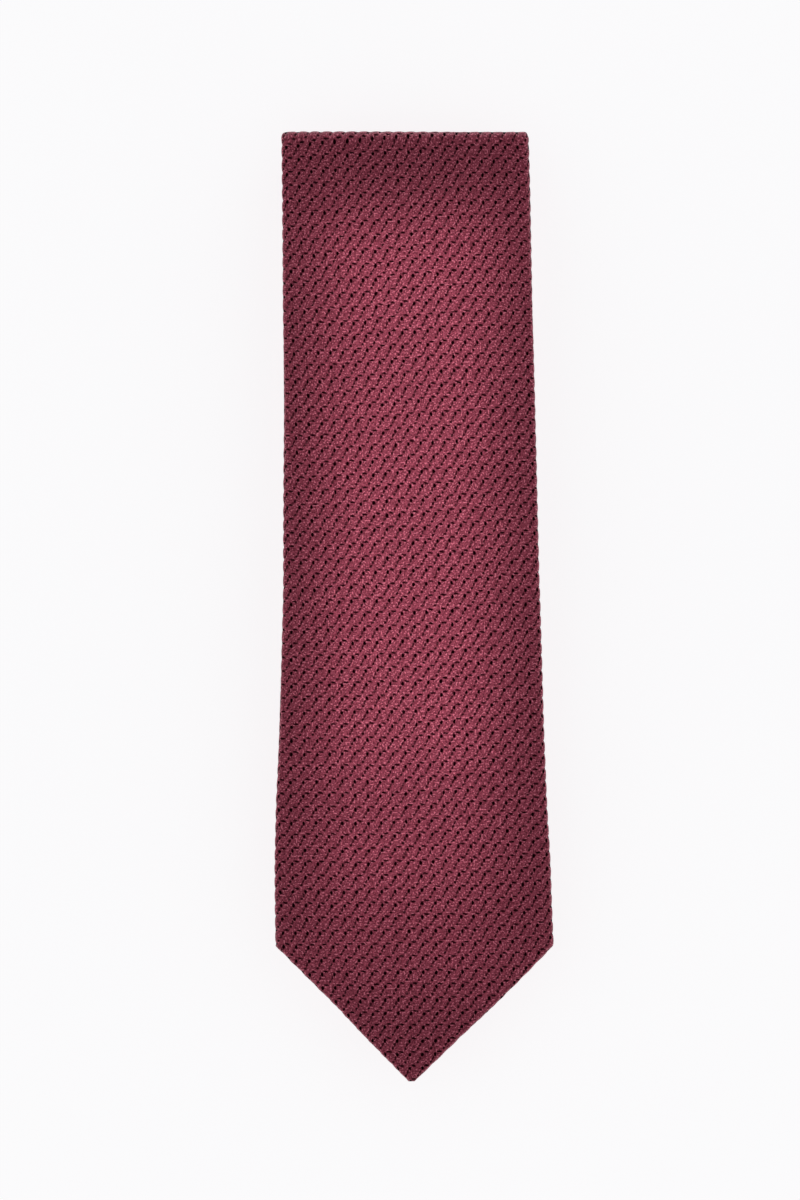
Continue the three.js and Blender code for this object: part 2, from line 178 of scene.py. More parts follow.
class Graph:
    """One material, or the world, and the nodes in it."""

    def __init__(self, owner: bpy.types.Material | bpy.types.World) -> None:
        """Clears its nodes.

        Args:
            owner: a new material or world.
        """
        self.owner = owner
        owner.use_nodes = True
        self.tree = owner.node_tree
        self.tree.nodes.clear()

    def node(self, kind: str, settings: dict[str, Any], sockets: dict[Any, Any], output: Any = 0) -> Wire:
        """Adds any node.

        Args:
            kind: the node's type.
            settings: its own properties, set first.
            sockets: a value or a wire for each input, by name or by number.
            output: the name or number of the output to return.

        Returns:
            The chosen output as a wire.
        """
        made = self.tree.nodes.new(kind)
        for key, value in settings.items():
            setattr(made, key, value)
        for key, value in sockets.items():
            if isinstance(value, Wire):
                self.tree.links.new(value.socket, made.inputs[key])
            else:
                made.inputs[key].default_value = value
        return Wire(self, made.outputs[output])

    def vector(self, operation: str, first: Any, second: Any, output: Any = 0) -> Wire:
        """One Vector Math node on two vectors."""
        return self.node("ShaderNodeVectorMath", {"operation": operation}, {0: first, 1: second}, output)

    def tint(self, share: Any, first: Any, second: Any) -> Wire:
        """The first colour where share is 0, the second where it is 1."""
        colours = {0: share, 6: self._rgba(first), 7: self._rgba(second)}
        return self.node("ShaderNodeMix", {"data_type": "RGBA"}, colours, 2)

    def shade(self, colour: Any, factor: Any) -> Wire:
        """A colour multiplied by a grey factor, through Vector Math."""
        grey = self.node("ShaderNodeCombineXYZ", {}, {0: factor, 1: factor, 2: factor})
        return self.vector("MULTIPLY", colour, grey)

    def noise(self, place: Wire, scale: float, detail: float, output: Any = 0) -> Wire:
        """Smooth noise from 0 to 1 at a place, or three of them as a colour."""
        sockets = {"Vector": place, "Scale": scale, "Detail": detail}
        return self.node("ShaderNodeTexNoise", {}, sockets, output)

    def stretched(self, place: Wire, factors: tuple) -> Wire:
        """A place multiplied by a factor each way, so that noise on it runs in streaks."""
        return self.vector("MULTIPLY", place, factors)

    def along(self, place: Wire, direction: tuple) -> Wire:
        """How far a place lies along a direction: their dot product."""
        return self.vector("DOT_PRODUCT", place, direction, "Value")

    def cloth_map(self) -> Wire:
        """The piece's own map of its cloth."""
        return self.node("ShaderNodeUVMap", {"uv_map": CLOTH_MAP}, {})

    def object_place(self) -> Wire:
        """The place on the object, in metres."""
        return self.node("ShaderNodeTexCoord", {}, {}, "Object")

    def bump(self, height: Wire, distance: float) -> Wire:
        """The normal of a height given as a share of a distance in metres."""
        return self.node("ShaderNodeBump", {}, {"Height": height, "Distance": distance})

    def finish(self, sockets: dict[Any, Any]) -> bpy.types.Material:
        """Ends the material in a Principled shader.

        Args:
            sockets: the shader's inputs, by name.

        Returns:
            The material.
        """
        self.show(self.node("ShaderNodeBsdfPrincipled", {}, sockets))
        return self.owner

    def show(self, shader: Wire, kind: str = "ShaderNodeOutputMaterial") -> None:
        """Links a shader to the output of the material or the world."""
        made = self.tree.nodes.new(kind)
        self.tree.links.new(shader.socket, made.inputs["Surface"])

    @staticmethod
    def _rgba(colour: Any) -> Any:
        """A plain colour with its alpha, or a wire as it is."""
        return colour if isinstance(colour, Wire) else (*colour, 1.0)


# ---------------------------------------------------------------------------------------------------------
# The weave, shared by the mesh and the material
# ---------------------------------------------------------------------------------------------------------


@dataclass(frozen=True)
class WeaveMark:
    """The hole, one gap between yarns or the crossing where a highlight is painted, inside a cell of the
    weave.

    Its place is in cells from the cell's corner hole, and its half sizes are in millimetres.
    """

    across: float
    along: float
    half_length: float
    half_width: float
    turn_deg: float
    darkness: float

    def axes(self, weave: "GauzeWeave") -> tuple[tuple, tuple]:
        """The two rows that turn an offset in cells into the mark's own long and short units.

        Args:
            weave: the weave that the mark belongs to.

        Returns:
            The long row and the short row, each with three numbers.
        """
        turn = math.radians(self.turn_deg)
        long_row = (
            math.cos(turn) * weave.column_pitch / self.half_length,
            math.sin(turn) * weave.row_pitch / self.half_length,
            0.0,
        )
        short_row = (
            -math.sin(turn) * weave.column_pitch / self.half_width,
            math.cos(turn) * weave.row_pitch / self.half_width,
            0.0,
        )
        return long_row, short_row


@dataclass(frozen=True)
class Wander:
    """A slow sine that shifts columns or rows, as handling does to silk.

    Its size is in cells, and its reaches are the millimetres that turn it by one radian each way.
    """

    size: float
    reach_across: float
    reach_along: float
    phase: float = 0.0

    def shift(self, around: np.ndarray, run: np.ndarray) -> np.ndarray:
        """The size times the sine of each distance over its reach, added up with the phase."""
        return self.size * np.sin(around / self.reach_across + run / self.reach_along + self.phase)


@dataclass(frozen=True)
class GauzeWeave:
    """A large gauze weave: crossed pairs of warp yarns leave a small hole at the corner of each cell."""

    column_pitch: float = 3.5
    row_pitch: float = 3.98
    row_rise: float = 0.048
    column_lean: float = 0.022
    fan_share: float = 0.4
    fan_width: float = 71.0
    column_wanders: tuple[Wander, ...] = (
        Wander(0.10, math.inf, 37.0, 1.3),
        Wander(0.05, 9.0, 15.0),
        Wander(0.03, 4.1, 5.3),
    )
    row_wanders: tuple[Wander, ...] = (
        Wander(0.16, 21.0, 63.0),
        Wander(0.04, 6.5, -24.0),
        Wander(0.03, -3.3, 7.7),
    )
    pillow_height: float = 0.2
    pillow_centre: tuple[float, float] = (0.4, -0.2)
    pillow_fullness: float = 0.6
    dimple_spread: float = 0.45
    dimple_depth: float = 0.26
    hole: WeaveMark = WeaveMark(0.0, 0.0, 0.48, 0.32, 90.0, 1.0)
    gaps: tuple[WeaveMark, ...] = (
        WeaveMark(0.32, 0.21, 0.60, 0.24, -10.0, 0.95),
        WeaveMark(0.81, -0.27, 0.48, 0.24, 72.0, 0.84),
        WeaveMark(0.65, -0.54, 0.32, 0.29, 48.0, 0.90),
    )
    # Where yarns cross: the material paints a highlight there.
    crossing_highlight: WeaveMark = WeaveMark(-0.28, 0.25, 0.78, 0.34, 50.0, 0.0)

    def cells(self, around: np.ndarray, along: np.ndarray, width: np.ndarray, origin: float) -> np.ndarray:
        """The place in the weave, in cells.

        Columns lie a pitch apart, fan out by a share of the tie's own widening past its fan width, and lean
        a little. Rows lie a pitch apart and rise to the right. Slow sines let both wander.

        Args:
            around: distance across the cloth from the middle of the front, in millimetres.
            along: distance along the tie, in millimetres.
            width: the tie's width there, in millimetres.
            origin: where along the tie this cut of silk starts counting, in millimetres.

        Returns:
            Columns and rows, stacked on the last axis.
        """
        run = along - origin
        fan = 1.0 + self.fan_share * (np.maximum(width, self.fan_width) / self.fan_width - 1.0)
        column = (around / fan + self.column_lean * run) / self.column_pitch
        row = (run - self.row_rise * around) / self.row_pitch
        for wander in self.column_wanders:
            column = column + wander.shift(around, run)
        for wander in self.row_wanders:
            row = row + wander.shift(around, run)
        return np.stack([column, row], axis=-1)

    def relief(self, cells: np.ndarray) -> np.ndarray:
        """Height of the silk above its own middle, in millimetres.

        Each cell is a pillow: the size of a cosine across times the size of a cosine along, to a power.
        Each mark presses a bell-shaped dimple into it.

        Args:
            cells: columns and rows on the last axis.

        Returns:
            The height at each place.
        """
        swell = np.abs(np.cos(np.pi * (cells - np.array(self.pillow_centre))))
        height = self.pillow_height * (swell[..., 0] * swell[..., 1]) ** self.pillow_fullness
        for mark in (self.hole, *self.gaps):
            offset = cells - np.array([mark.across, mark.along])
            offset = offset - np.round(offset)
            long_row, short_row = mark.axes(self)
            square = (offset @ np.array(long_row[:2])) ** 2 + (offset @ np.array(short_row[:2])) ** 2
            height = height - self.dimple_depth * mark.darkness * np.exp(-self.dimple_spread * square)
        return height


WEAVE = GauzeWeave()


# ---------------------------------------------------------------------------------------------------------
# Finishes
# ---------------------------------------------------------------------------------------------------------


@dataclass(frozen=True)
class SilkFinish:
    """Burgundy gauze-woven silk: crimped yarn in painted shade and painted highlight, with painted glints,
    painted shadow in its gaps and darker holes, and a painted highlight where yarns cross.

    Noise scales count per cell of the weave. A fade is the squared distance from a mark's middle, in its
    own half sizes, at which the mark starts to fade and the one at which it has gone.
    """

    name: str = "burgundy_gauze_silk"
    # yarn_shaded and yarn_lit are painted shade and painted highlight copies of one yarn colour.
    yarn_shaded: tuple = (0.070, 0.006, 0.014)
    yarn_lit: tuple = (0.445, 0.082, 0.127)
    # yarn_glint is a painted glint.
    yarn_glint: tuple = (0.820, 0.220, 0.300)
    # gap is the painted shadow shown in the gaps and the hole.
    gap: tuple = (0.006, 0.000, 0.001)
    roughness: float = 0.44
    gap_roughness: float = 0.3
    grain_polish: float = 0.08
    gloss: float = 0.9
    gloss_tint: tuple = (1.0, 0.20, 0.31, 1.0)
    sheen: float = 0.08
    sheen_roughness: float = 0.4
    sheen_tint: tuple = (1.0, 0.35, 0.45, 1.0)
    relief: float = 0.00030
    uneven_scale: float = 0.9
    cloud_scale: float = 0.11
    cloud_depth: float = 0.16
    jitter_scale: float = 2.6
    jitter_reach: tuple = (0.13, 0.11, 0.0)
    yarn_scale: float = 7.5
    weft_stretch: tuple = (0.6, 1.6, 1.0)
    warp_stretch: tuple = (1.5, 0.6, 1.0)
    yarn_contrast: tuple = (0.40, 0.60)
    glint_scale: float = 7.0
    glint_stretch: tuple = (1.0, 1.2, 1.0)
    glint_contrast: tuple = (0.60, 0.70)
    gap_fade: tuple = (0.5, 2.3)
    hole_fade: tuple = (0.7, 2.1)
    crossing_fade: tuple = (0.1, 1.8)

    def _mark(self, graph: Graph, place: Wire, mark: WeaveMark, fade: tuple) -> Wire:
        """A mark of the weave as a mask, 1 in its core and 0 beyond its rim.

        Args:
            graph: the material in the making.
            place: the place in the weave, in cells.
            mark: the mark.
            fade: the squared distances at which it starts to fade and has gone.

        Returns:
            The mask.
        """
        shifted = graph.vector("ADD", place, (0.5 - mark.across, 0.5 - mark.along, 0.0))
        wrapped = graph.vector("FRACTION", shifted, (0.0, 0.0, 0.0))
        offset = graph.vector("SUBTRACT", wrapped, (0.5, 0.5, 0.0))
        far, wide = (graph.along(offset, row) for row in mark.axes(WEAVE))
        return (far * far + wide * wide).eased(*fade, 1.0, 0.0)

    def make(self) -> bpy.types.Material:
        """Builds the material on the cloth map, which is in cells of the weave.

        Gaps and the hole show a black diffuse as painted shadow. Where yarns cross, a painted highlight
        makes the yarn brightest.

        Returns:
            The finished material.
        """
        graph = Graph(bpy.data.materials.new(self.name))
        place = graph.cloth_map()
        uneven = graph.noise(place, self.uneven_scale, 1.0)
        cloudy = graph.noise(place, self.cloud_scale, 2.0)
        jitter = graph.noise(place, self.jitter_scale, 1.0, "Color")
        centred = graph.vector("SUBTRACT", jitter, (0.5, 0.5, 0.5))
        loose = graph.vector("ADD", place, graph.stretched(centred, self.jitter_reach))
        weft = graph.noise(graph.stretched(loose, self.weft_stretch), self.yarn_scale, 1.0)
        warp = graph.noise(graph.stretched(loose, self.warp_stretch), self.yarn_scale, 1.0)
        glint = graph.noise(graph.stretched(place, self.glint_stretch), self.glint_scale, 0.0)
        light = 1.0
        # The gaps darken the yarn towards painted shadow.
        for mark in WEAVE.gaps:
            depth = self._mark(graph, loose, mark, self.gap_fade) * mark.darkness
            light = light * (1.0 - depth * (0.75 + uneven * 0.5).smaller(1.0))
        hole = self._mark(graph, loose, WEAVE.hole, self.hole_fade)
        crossing_highlight = self._mark(graph, loose, WEAVE.crossing_highlight, self.crossing_fade)
        # The yarn noise mixes painted shade with painted highlight; it also shapes the bump and the
        # roughness.
        grain_and_painted_light = weft.eased(*self.yarn_contrast) * 0.5 + warp.eased(*self.yarn_contrast) * 0.5
        yarn = graph.tint(grain_and_painted_light, self.yarn_shaded, self.yarn_lit)
        # A painted highlight where yarns cross.
        yarn = graph.tint(crossing_highlight * (0.35 + uneven * 0.5), yarn, self.yarn_lit)
        # Painted glints on the yarn.
        yarn = graph.tint(glint.eased(*self.glint_contrast), yarn, self.yarn_glint)
        height = grain_and_painted_light * 0.30 + light * 0.55 + crossing_highlight * 0.22 - hole * 0.8
        skin = {
            "Base Color": graph.shade(yarn, 1.0 - self.cloud_depth * 0.5 + cloudy * self.cloud_depth),
            "Roughness": self.roughness + (1.0 - light) * self.gap_roughness - grain_and_painted_light * self.grain_polish,
            "Specular Tint": self.gloss_tint,
            "Sheen Weight": self.sheen,
            "Sheen Roughness": self.sheen_roughness,
            "Sheen Tint": self.sheen_tint,
            "Specular IOR Level": self.gloss,
            "Normal": graph.bump(height, self.relief),
        }
        cloth = graph.node("ShaderNodeBsdfPrincipled", {}, skin)
        # A black diffuse stands in as painted shadow where the gaps and the hole open.
        shadow = graph.node("ShaderNodeBsdfDiffuse", {}, {"Color": (*self.gap, 1.0)})
        open_share = 1.0 - light * (1.0 - hole)
        graph.show(graph.node("ShaderNodeMixShader", {}, {0: open_share, 1: cloth, 2: shadow}))
        return graph.owner


@dataclass(frozen=True)
class WoolFinish:
    """Brushed wool and cotton interlining: a pale felt with a coarse weave under the nap."""

    name: str = "brushed_wool_interlining"
    pale: tuple = (0.62, 0.57, 0.48)
    dark: tuple = (0.40, 0.35, 0.28)
    thread_pitch: float = 0.9
    nap_scale: float = 1.6
    relief: float = 0.0003

    def make(self) -> bpy.types.Material:
        """Builds the material on the cloth map, which is in millimetres.

        Returns:
            The finished material.
        """
        graph = Graph(bpy.data.materials.new(self.name))
        place = graph.cloth_map()
        nap = graph.noise(place, self.nap_scale, 4.0)
        turn = 2.0 * math.pi / self.thread_pitch
        warp = graph.along(place, (turn, 0.0, 0.0)).wave()
        weft = graph.along(place, (0.0, turn, 0.0)).wave()
        cross = warp * weft * 0.5 + 0.5
        share = (nap * 0.7 + cross * 0.3).eased(0.25, 0.75)
        return graph.finish(
            {
                "Base Color": graph.tint(share, self.dark, self.pale),
                "Roughness": 0.85 + nap * 0.1,
                "Sheen Weight": 0.4,
                "Normal": graph.bump(share, self.relief),
            }
        )


@dataclass(frozen=True)
class SatinFinish:
    """Smooth satin with fine floats along one direction, used for tipping, in painted shade and painted
    sheen.
    """

    name: str = "burgundy_satin_tipping"
    # deep is painted shade and lit painted sheen on one satin colour.
    deep: tuple = (0.105, 0.010, 0.022)
    lit: tuple = (0.200, 0.028, 0.050)
    float_pitch: float = 0.28
    float_slant: float = 0.12
    step_stretch: tuple = (3.4, 0.35, 1.0)
    ripple_scale: float = 0.06
    relief: float = 0.00012

    def make(self) -> bpy.types.Material:
        """Builds the material on the cloth map, which is in millimetres.

        Returns:
            The finished material.
        """
        graph = Graph(bpy.data.materials.new(self.name))
        place = graph.cloth_map()
        turn = 2.0 * math.pi / self.float_pitch
        steps = graph.noise(graph.stretched(place, self.step_stretch), 1.0, 2.0)
        rib = (graph.along(place, (turn, self.float_slant * turn, 0.0)) + steps * 3.0).wave()
        ripple = graph.noise(place, self.ripple_scale, 1.0)
        # Floats and streaks mix painted shade with painted sheen; they also shape the bump and roughness.
        share = (rib * 0.18 + steps * 0.6 + ripple * 0.3).eased(0.1, 0.9)
        return graph.finish(
            {
                "Base Color": graph.tint(share, self.deep, self.lit),
                "Roughness": 0.30 + steps * 0.12,
                "Anisotropic": 0.5,
                "Sheen Weight": 0.1,
                "Normal": graph.bump(rib * 0.3 + ripple * 0.7, self.relief),
            }
        )


@dataclass(frozen=True)
class ThreadFinish:
    """Two-ply silk sewing thread with its twist showing as painted highlight on each ply and painted shade
    between them.
    """

    name: str = "silk_sewing_thread"
    # deep is the painted shade between the plies, lit the painted highlight on them.
    deep: tuple = (0.085, 0.008, 0.018)
    lit: tuple = (0.270, 0.048, 0.078)
    twist: float = 5.0
    relief: float = 0.00008

    def make(self) -> bpy.types.Material:
        """Builds the material on the thread's own map: turns round it and millimetres along it.

        Returns:
            The finished material.
        """
        graph = Graph(bpy.data.materials.new(self.name))
        place = graph.cloth_map()
        ply = graph.along(place, (4.0 * math.pi, self.twist, 0.0)).wave()
        # The twist mixes painted shade between the plies with painted highlight on them; it also shapes the
        # bump and roughness.
        lay = ply.eased(-1.0, 0.9)
        return graph.finish(
            {
                "Base Color": graph.tint(lay, self.deep, self.lit),
                "Roughness": 0.5 - lay * 0.12,
                "Sheen Weight": 0.2,
                "Normal": graph.bump(lay, self.relief),
            }
        )


@dataclass(frozen=True)
class LabelFinish:
    """A blank label: a satin ground with woven edges and a plain frame line set in from them."""

    name: str
    ground: tuple
    ground_deep: tuple
    frame: tuple
    frame_width: float
    half_length: float
    half_width: float
    frame_inset: float = 1.9
    selvedge: float = 0.7
    weft_turn: float = 18.0
    warp_turn: float = 26.0
    float_stretch: tuple = (5.0, 1.2, 1.0)
    relief: float = 0.00010

    def make(self) -> bpy.types.Material:
        """Builds the material on the cloth map, in millimetres from the label's middle.

        Returns:
            The finished material.
        """
        graph = Graph(bpy.data.materials.new(self.name))
        place = graph.cloth_map()
        along = graph.along(place, (1.0, 0.0, 0.0))
        over = graph.along(place, (0.0, 1.0, 0.0))
        in_long = self.half_length - along.size()
        in_wide = self.half_width - over.size()
        nearest = in_long.smaller(in_wide)
        off_line = (nearest - self.frame_inset).size()
        line = off_line.eased(self.frame_width * 0.4, self.frame_width * 0.6, 1.0, 0.0)
        edge = in_wide.eased(self.selvedge * 0.6, self.selvedge, 1.0, 0.0)
        weft = (over * self.weft_turn).wave() * 0.5 + 0.5
        swayed = along + (over * (self.weft_turn / 2.0)).wave() * 0.06
        warp = (swayed * self.warp_turn).wave() * 0.5 + 0.5
        floats = graph.noise(graph.stretched(place, self.float_stretch), 1.0, 2.0)
        share = (warp * 0.35 + weft * 0.25 + floats * 0.5).eased(0.2, 0.9)
        ground = graph.tint(share, self.ground_deep, self.ground)
        colour = graph.tint(line.larger(edge * 0.55) * (0.75 + weft * 0.25), ground, self.frame)
        return graph.finish(
            {
                "Base Color": colour,
                "Roughness": 0.42 + share * 0.15,
                "Sheen Weight": 0.15,
                "Normal": graph.bump(warp * 0.3 + weft * 0.3 + line * 0.6, self.relief),
            }
        )


# ---------------------------------------------------------------------------------------------------------
# Meshes
# ---------------------------------------------------------------------------------------------------------


def eased(values: np.ndarray, low: float, high: float) -> np.ndarray:
    """A smooth step: 0 before low, 1 after high, and three t squared less two t cubed between."""
    share = np.clip((values - low) / (high - low), 0.0, 1.0)
    return share * share * (3.0 - 2.0 * share)


def rounded(share: np.ndarray) -> np.ndarray:
    """A quarter circle: 0 at share 0, level with 1 from share 1 on."""
    return np.sqrt(1.0 - (1.0 - np.clip(share, 0.0, 1.0)) ** 2)


def grid_quads(rows: int, columns: int, first: int = 0) -> np.ndarray:
    """The quads of a grid of points, facing the way of column direction cross row direction.

    Args:
        rows: points from first row to last.
        columns: points in a row.
        first: the number of the grid's first point.

    Returns:
        Four point numbers for each quad.
    """
    number = first + np.arange(rows * columns).reshape(rows, columns)
    corners = (number[:-1, :-1], number[:-1, 1:], number[1:, 1:], number[1:, :-1])
    return np.stack(corners, axis=-1).reshape(-1, 4)


def grid_border(rows: int, columns: int, first: int = 0) -> np.ndarray:
    """The point numbers round a grid's border, anticlockwise seen from its outward side."""
    number = first + np.arange(rows * columns).reshape(rows, columns)
    return np.concatenate([number[0, :-1], number[:-1, -1], number[-1, :0:-1], number[:0:-1, 0]])


def add_object(name: str, data: bpy.types.ID) -> bpy.types.Object:
    """Puts a mesh, a light or a camera into the scene as an object at the origin.

    Args:
        name: the object's name.
        data: what it shows.

    Returns:
        The object.
    """
    made = bpy.data.objects.new(name, data)
    bpy.context.scene.collection.objects.link(made)
    return made


def make_object(
    name: str, points: np.ndarray, faces: list[np.ndarray], cloth: np.ndarray
) -> bpy.types.Object:
    """Puts points and faces into a new object at the origin.

    Args:
        name: the piece's name.
        points: the points, in millimetres.
        faces: arrays of faces, each with its own number of corners.
        cloth: the place in the cloth of each point, for the piece's map.

    Returns:
        The object, shaded smooth but for its sharp rims.
    """
    corners = np.concatenate([group.ravel() for group in faces])
    counts = np.concatenate([np.full(len(group), group.shape[1]) for group in faces])
    starts = np.concatenate([[0], np.cumsum(counts)[:-1]])
    mesh = bpy.data.meshes.new(name)
    mesh.vertices.add(len(points))
    mesh.vertices.foreach_set("co", (points * MM).astype(np.float32).ravel())
    mesh.loops.add(len(corners))
    mesh.loops.foreach_set("vertex_index", corners.astype(np.int32))
    mesh.polygons.add(len(counts))
    mesh.polygons.foreach_set("loop_start", starts.astype(np.int32))
    layer = mesh.uv_layers.new(name=CLOTH_MAP)
    mesh.update(calc_edges=True)
    layer.uv.foreach_set("vector", cloth[corners].astype(np.float32).ravel())
    mesh.validate()
    mesh.shade_smooth()
    mesh.set_sharp_from_angle(angle=math.radians(SHARP_DEG))
    return add_object(name, mesh)


def closed_cloth(name: str, outside: np.ndarray, inside: np.ndarray, cloth: np.ndarray) -> bpy.types.Object:
    """A cloth with two faces and a rim.

    The outside is a fine grid. The inside is a grid of every second point, set in by the cloth's thickness.
    The rim joins each inside edge to its two outside edges with three triangles.

    Args:
        name: the piece's name.
        outside: points by row and column, an odd number of each.
        inside: points by row and column, half as many spaces each way.
        cloth: the place in the cloth of each outside point.

    Returns:
        The closed piece.
    """
    rows, columns = outside.shape[:2]
    inner_rows, inner_columns = inside.shape[:2]
    first = rows * columns
    outer = grid_quads(rows, columns)
    inner = grid_quads(inner_rows, inner_columns, first)[:, ::-1]
    rim = np.append(grid_border(rows, columns), 0)
    inner_rim = np.append(grid_border(inner_rows, inner_columns, first), first)
    start, middle, end = rim[:-1:2], rim[1::2], rim[2::2]
    under, under_next = inner_rim[:-1], inner_rim[1:]
    walls = np.concatenate(
        [
            np.stack([start, under, middle], axis=-1),
            np.stack([middle, under, under_next], axis=-1),
            np.stack([middle, under_next, end], axis=-1),
        ]
    )
    points = np.concatenate([outside.reshape(-1, 3), inside.reshape(-1, 3)])
    places = np.concatenate([cloth.reshape(-1, 2), cloth[::2, ::2].reshape(-1, 2)])
    return make_object(name, points, [outer, inner, walls], places)


def thread_tube(
    name: str, line: np.ndarray, radius: float, steady: tuple, sides: int = 6
) -> bpy.types.Object:
    """A round thread along a line, closed at both ends with a point.

    Each ring lies square to the line: its first radius is the line's direction crossed with a steady
    direction, and its second is square to both.

    Args:
        name: the piece's name.
        line: the points it follows, in millimetres.
        radius: the thread's radius.
        steady: a direction that the line never takes.
        sides: corners of a ring.

    Returns:
        The closed tube.
    """
    ahead = np.gradient(line, axis=0)
    ahead = ahead / np.linalg.norm(ahead, axis=1, keepdims=True)
    side = np.cross(ahead, np.array(steady))
    side = side / np.linalg.norm(side, axis=1, keepdims=True)
    top = np.cross(side, ahead)
    turn = np.linspace(0.0, 2.0 * np.pi, sides, endpoint=False)[None, :, None]
    rings = line[:, None] + radius * (np.cos(turn) * side[:, None] + np.sin(turn) * top[:, None])
    count = len(line)
    here = np.arange(count - 1)[:, None] * sides + np.arange(sides)[None, :]
    beside = np.arange(count - 1)[:, None] * sides + (np.arange(sides)[None, :] + 1) % sides
    walls = np.stack([here, here + sides, beside + sides, beside], axis=-1).reshape(-1, 4)
    ring = np.arange(sides)
    last = (count - 1) * sides
    tail, head = count * sides, count * sides + 1
    caps = np.concatenate(
        [
            np.stack([ring, (ring + 1) % sides, np.full(sides, tail)], axis=-1),
            np.stack([last + (ring + 1) % sides, last + ring, np.full(sides, head)], axis=-1),
        ]
    )
    ends = np.stack([line[0] - ahead[0] * radius, line[-1] + ahead[-1] * radius])
    points = np.concatenate([rings.reshape(-1, 3), ends])
    length = np.append(0.0, np.cumsum(np.linalg.norm(np.diff(line, axis=0), axis=1)))
    share = np.arange(sides) / sides
    places = np.stack(np.broadcast_arrays(share[None, :], length[:, None]), axis=-1).reshape(-1, 2)
    places = np.concatenate([places, [[0.0, length[0]], [0.0, length[-1]]]])
    return make_object(name, points, [walls, caps], places)


# ---------------------------------------------------------------------------------------------------------
# The tie's own shape
# ---------------------------------------------------------------------------------------------------------


@dataclass(frozen=True)
class Fold:
    """A fold between the run above it and the run below it, measured from its CAD silk."""

    name: str
    upper: str
    lower: str
    tangent: float
    heading: float
    upper_level: float
    lower_level: float
    slant: float = 0.15

    @property
    def radius(self) -> float:
        """The bend's radius at the middle of the tie's thickness."""
        return (self.upper_level - self.lower_level) / 2.0

    def bend(self, piece: bpy.types.Object, half_thickness: float) -> None:
        """Works out a turning axis for a piece of the upper run at this fold, then bakes the piece where it
        stands.

        The axis runs between the faces that the two runs show each other. Its direction leans away from
        the fold, so that cloth which sinks far from the fold would go wholly with the upper run. Nothing
        uses the axis, and the piece does not turn.

        Args:
            piece: the piece that holds the upper run and the bend.
            half_thickness: half the tie's thickness, in millimetres.
        """
        start = (0.0, self.tangent, self.lower_level + half_thickness)
        gap = self.upper_level - half_thickness - start[2]
        end = (0.0, self.tangent - self.heading * self.slant * gap, start[2] + gap)
        scaled = [[value * MM for value in point] for point in (start, end)]
        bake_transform(piece)


@dataclass(frozen=True)
class Run:
    """A flat stretch of the tie between two folds.

    Its heading is 1 where the tie goes towards the frame's +Y, with its front face up, and -1 on the way
    back, with its front face down.
    """

    name: str
    start: float
    length: float
    y_start: float
    heading: float
    level: float
    radius: float

    @property
    def end(self) -> float:
        """The distance along the tie at which the next run starts, past this run's fold."""
        return self.start + self.length + math.pi * self.radius


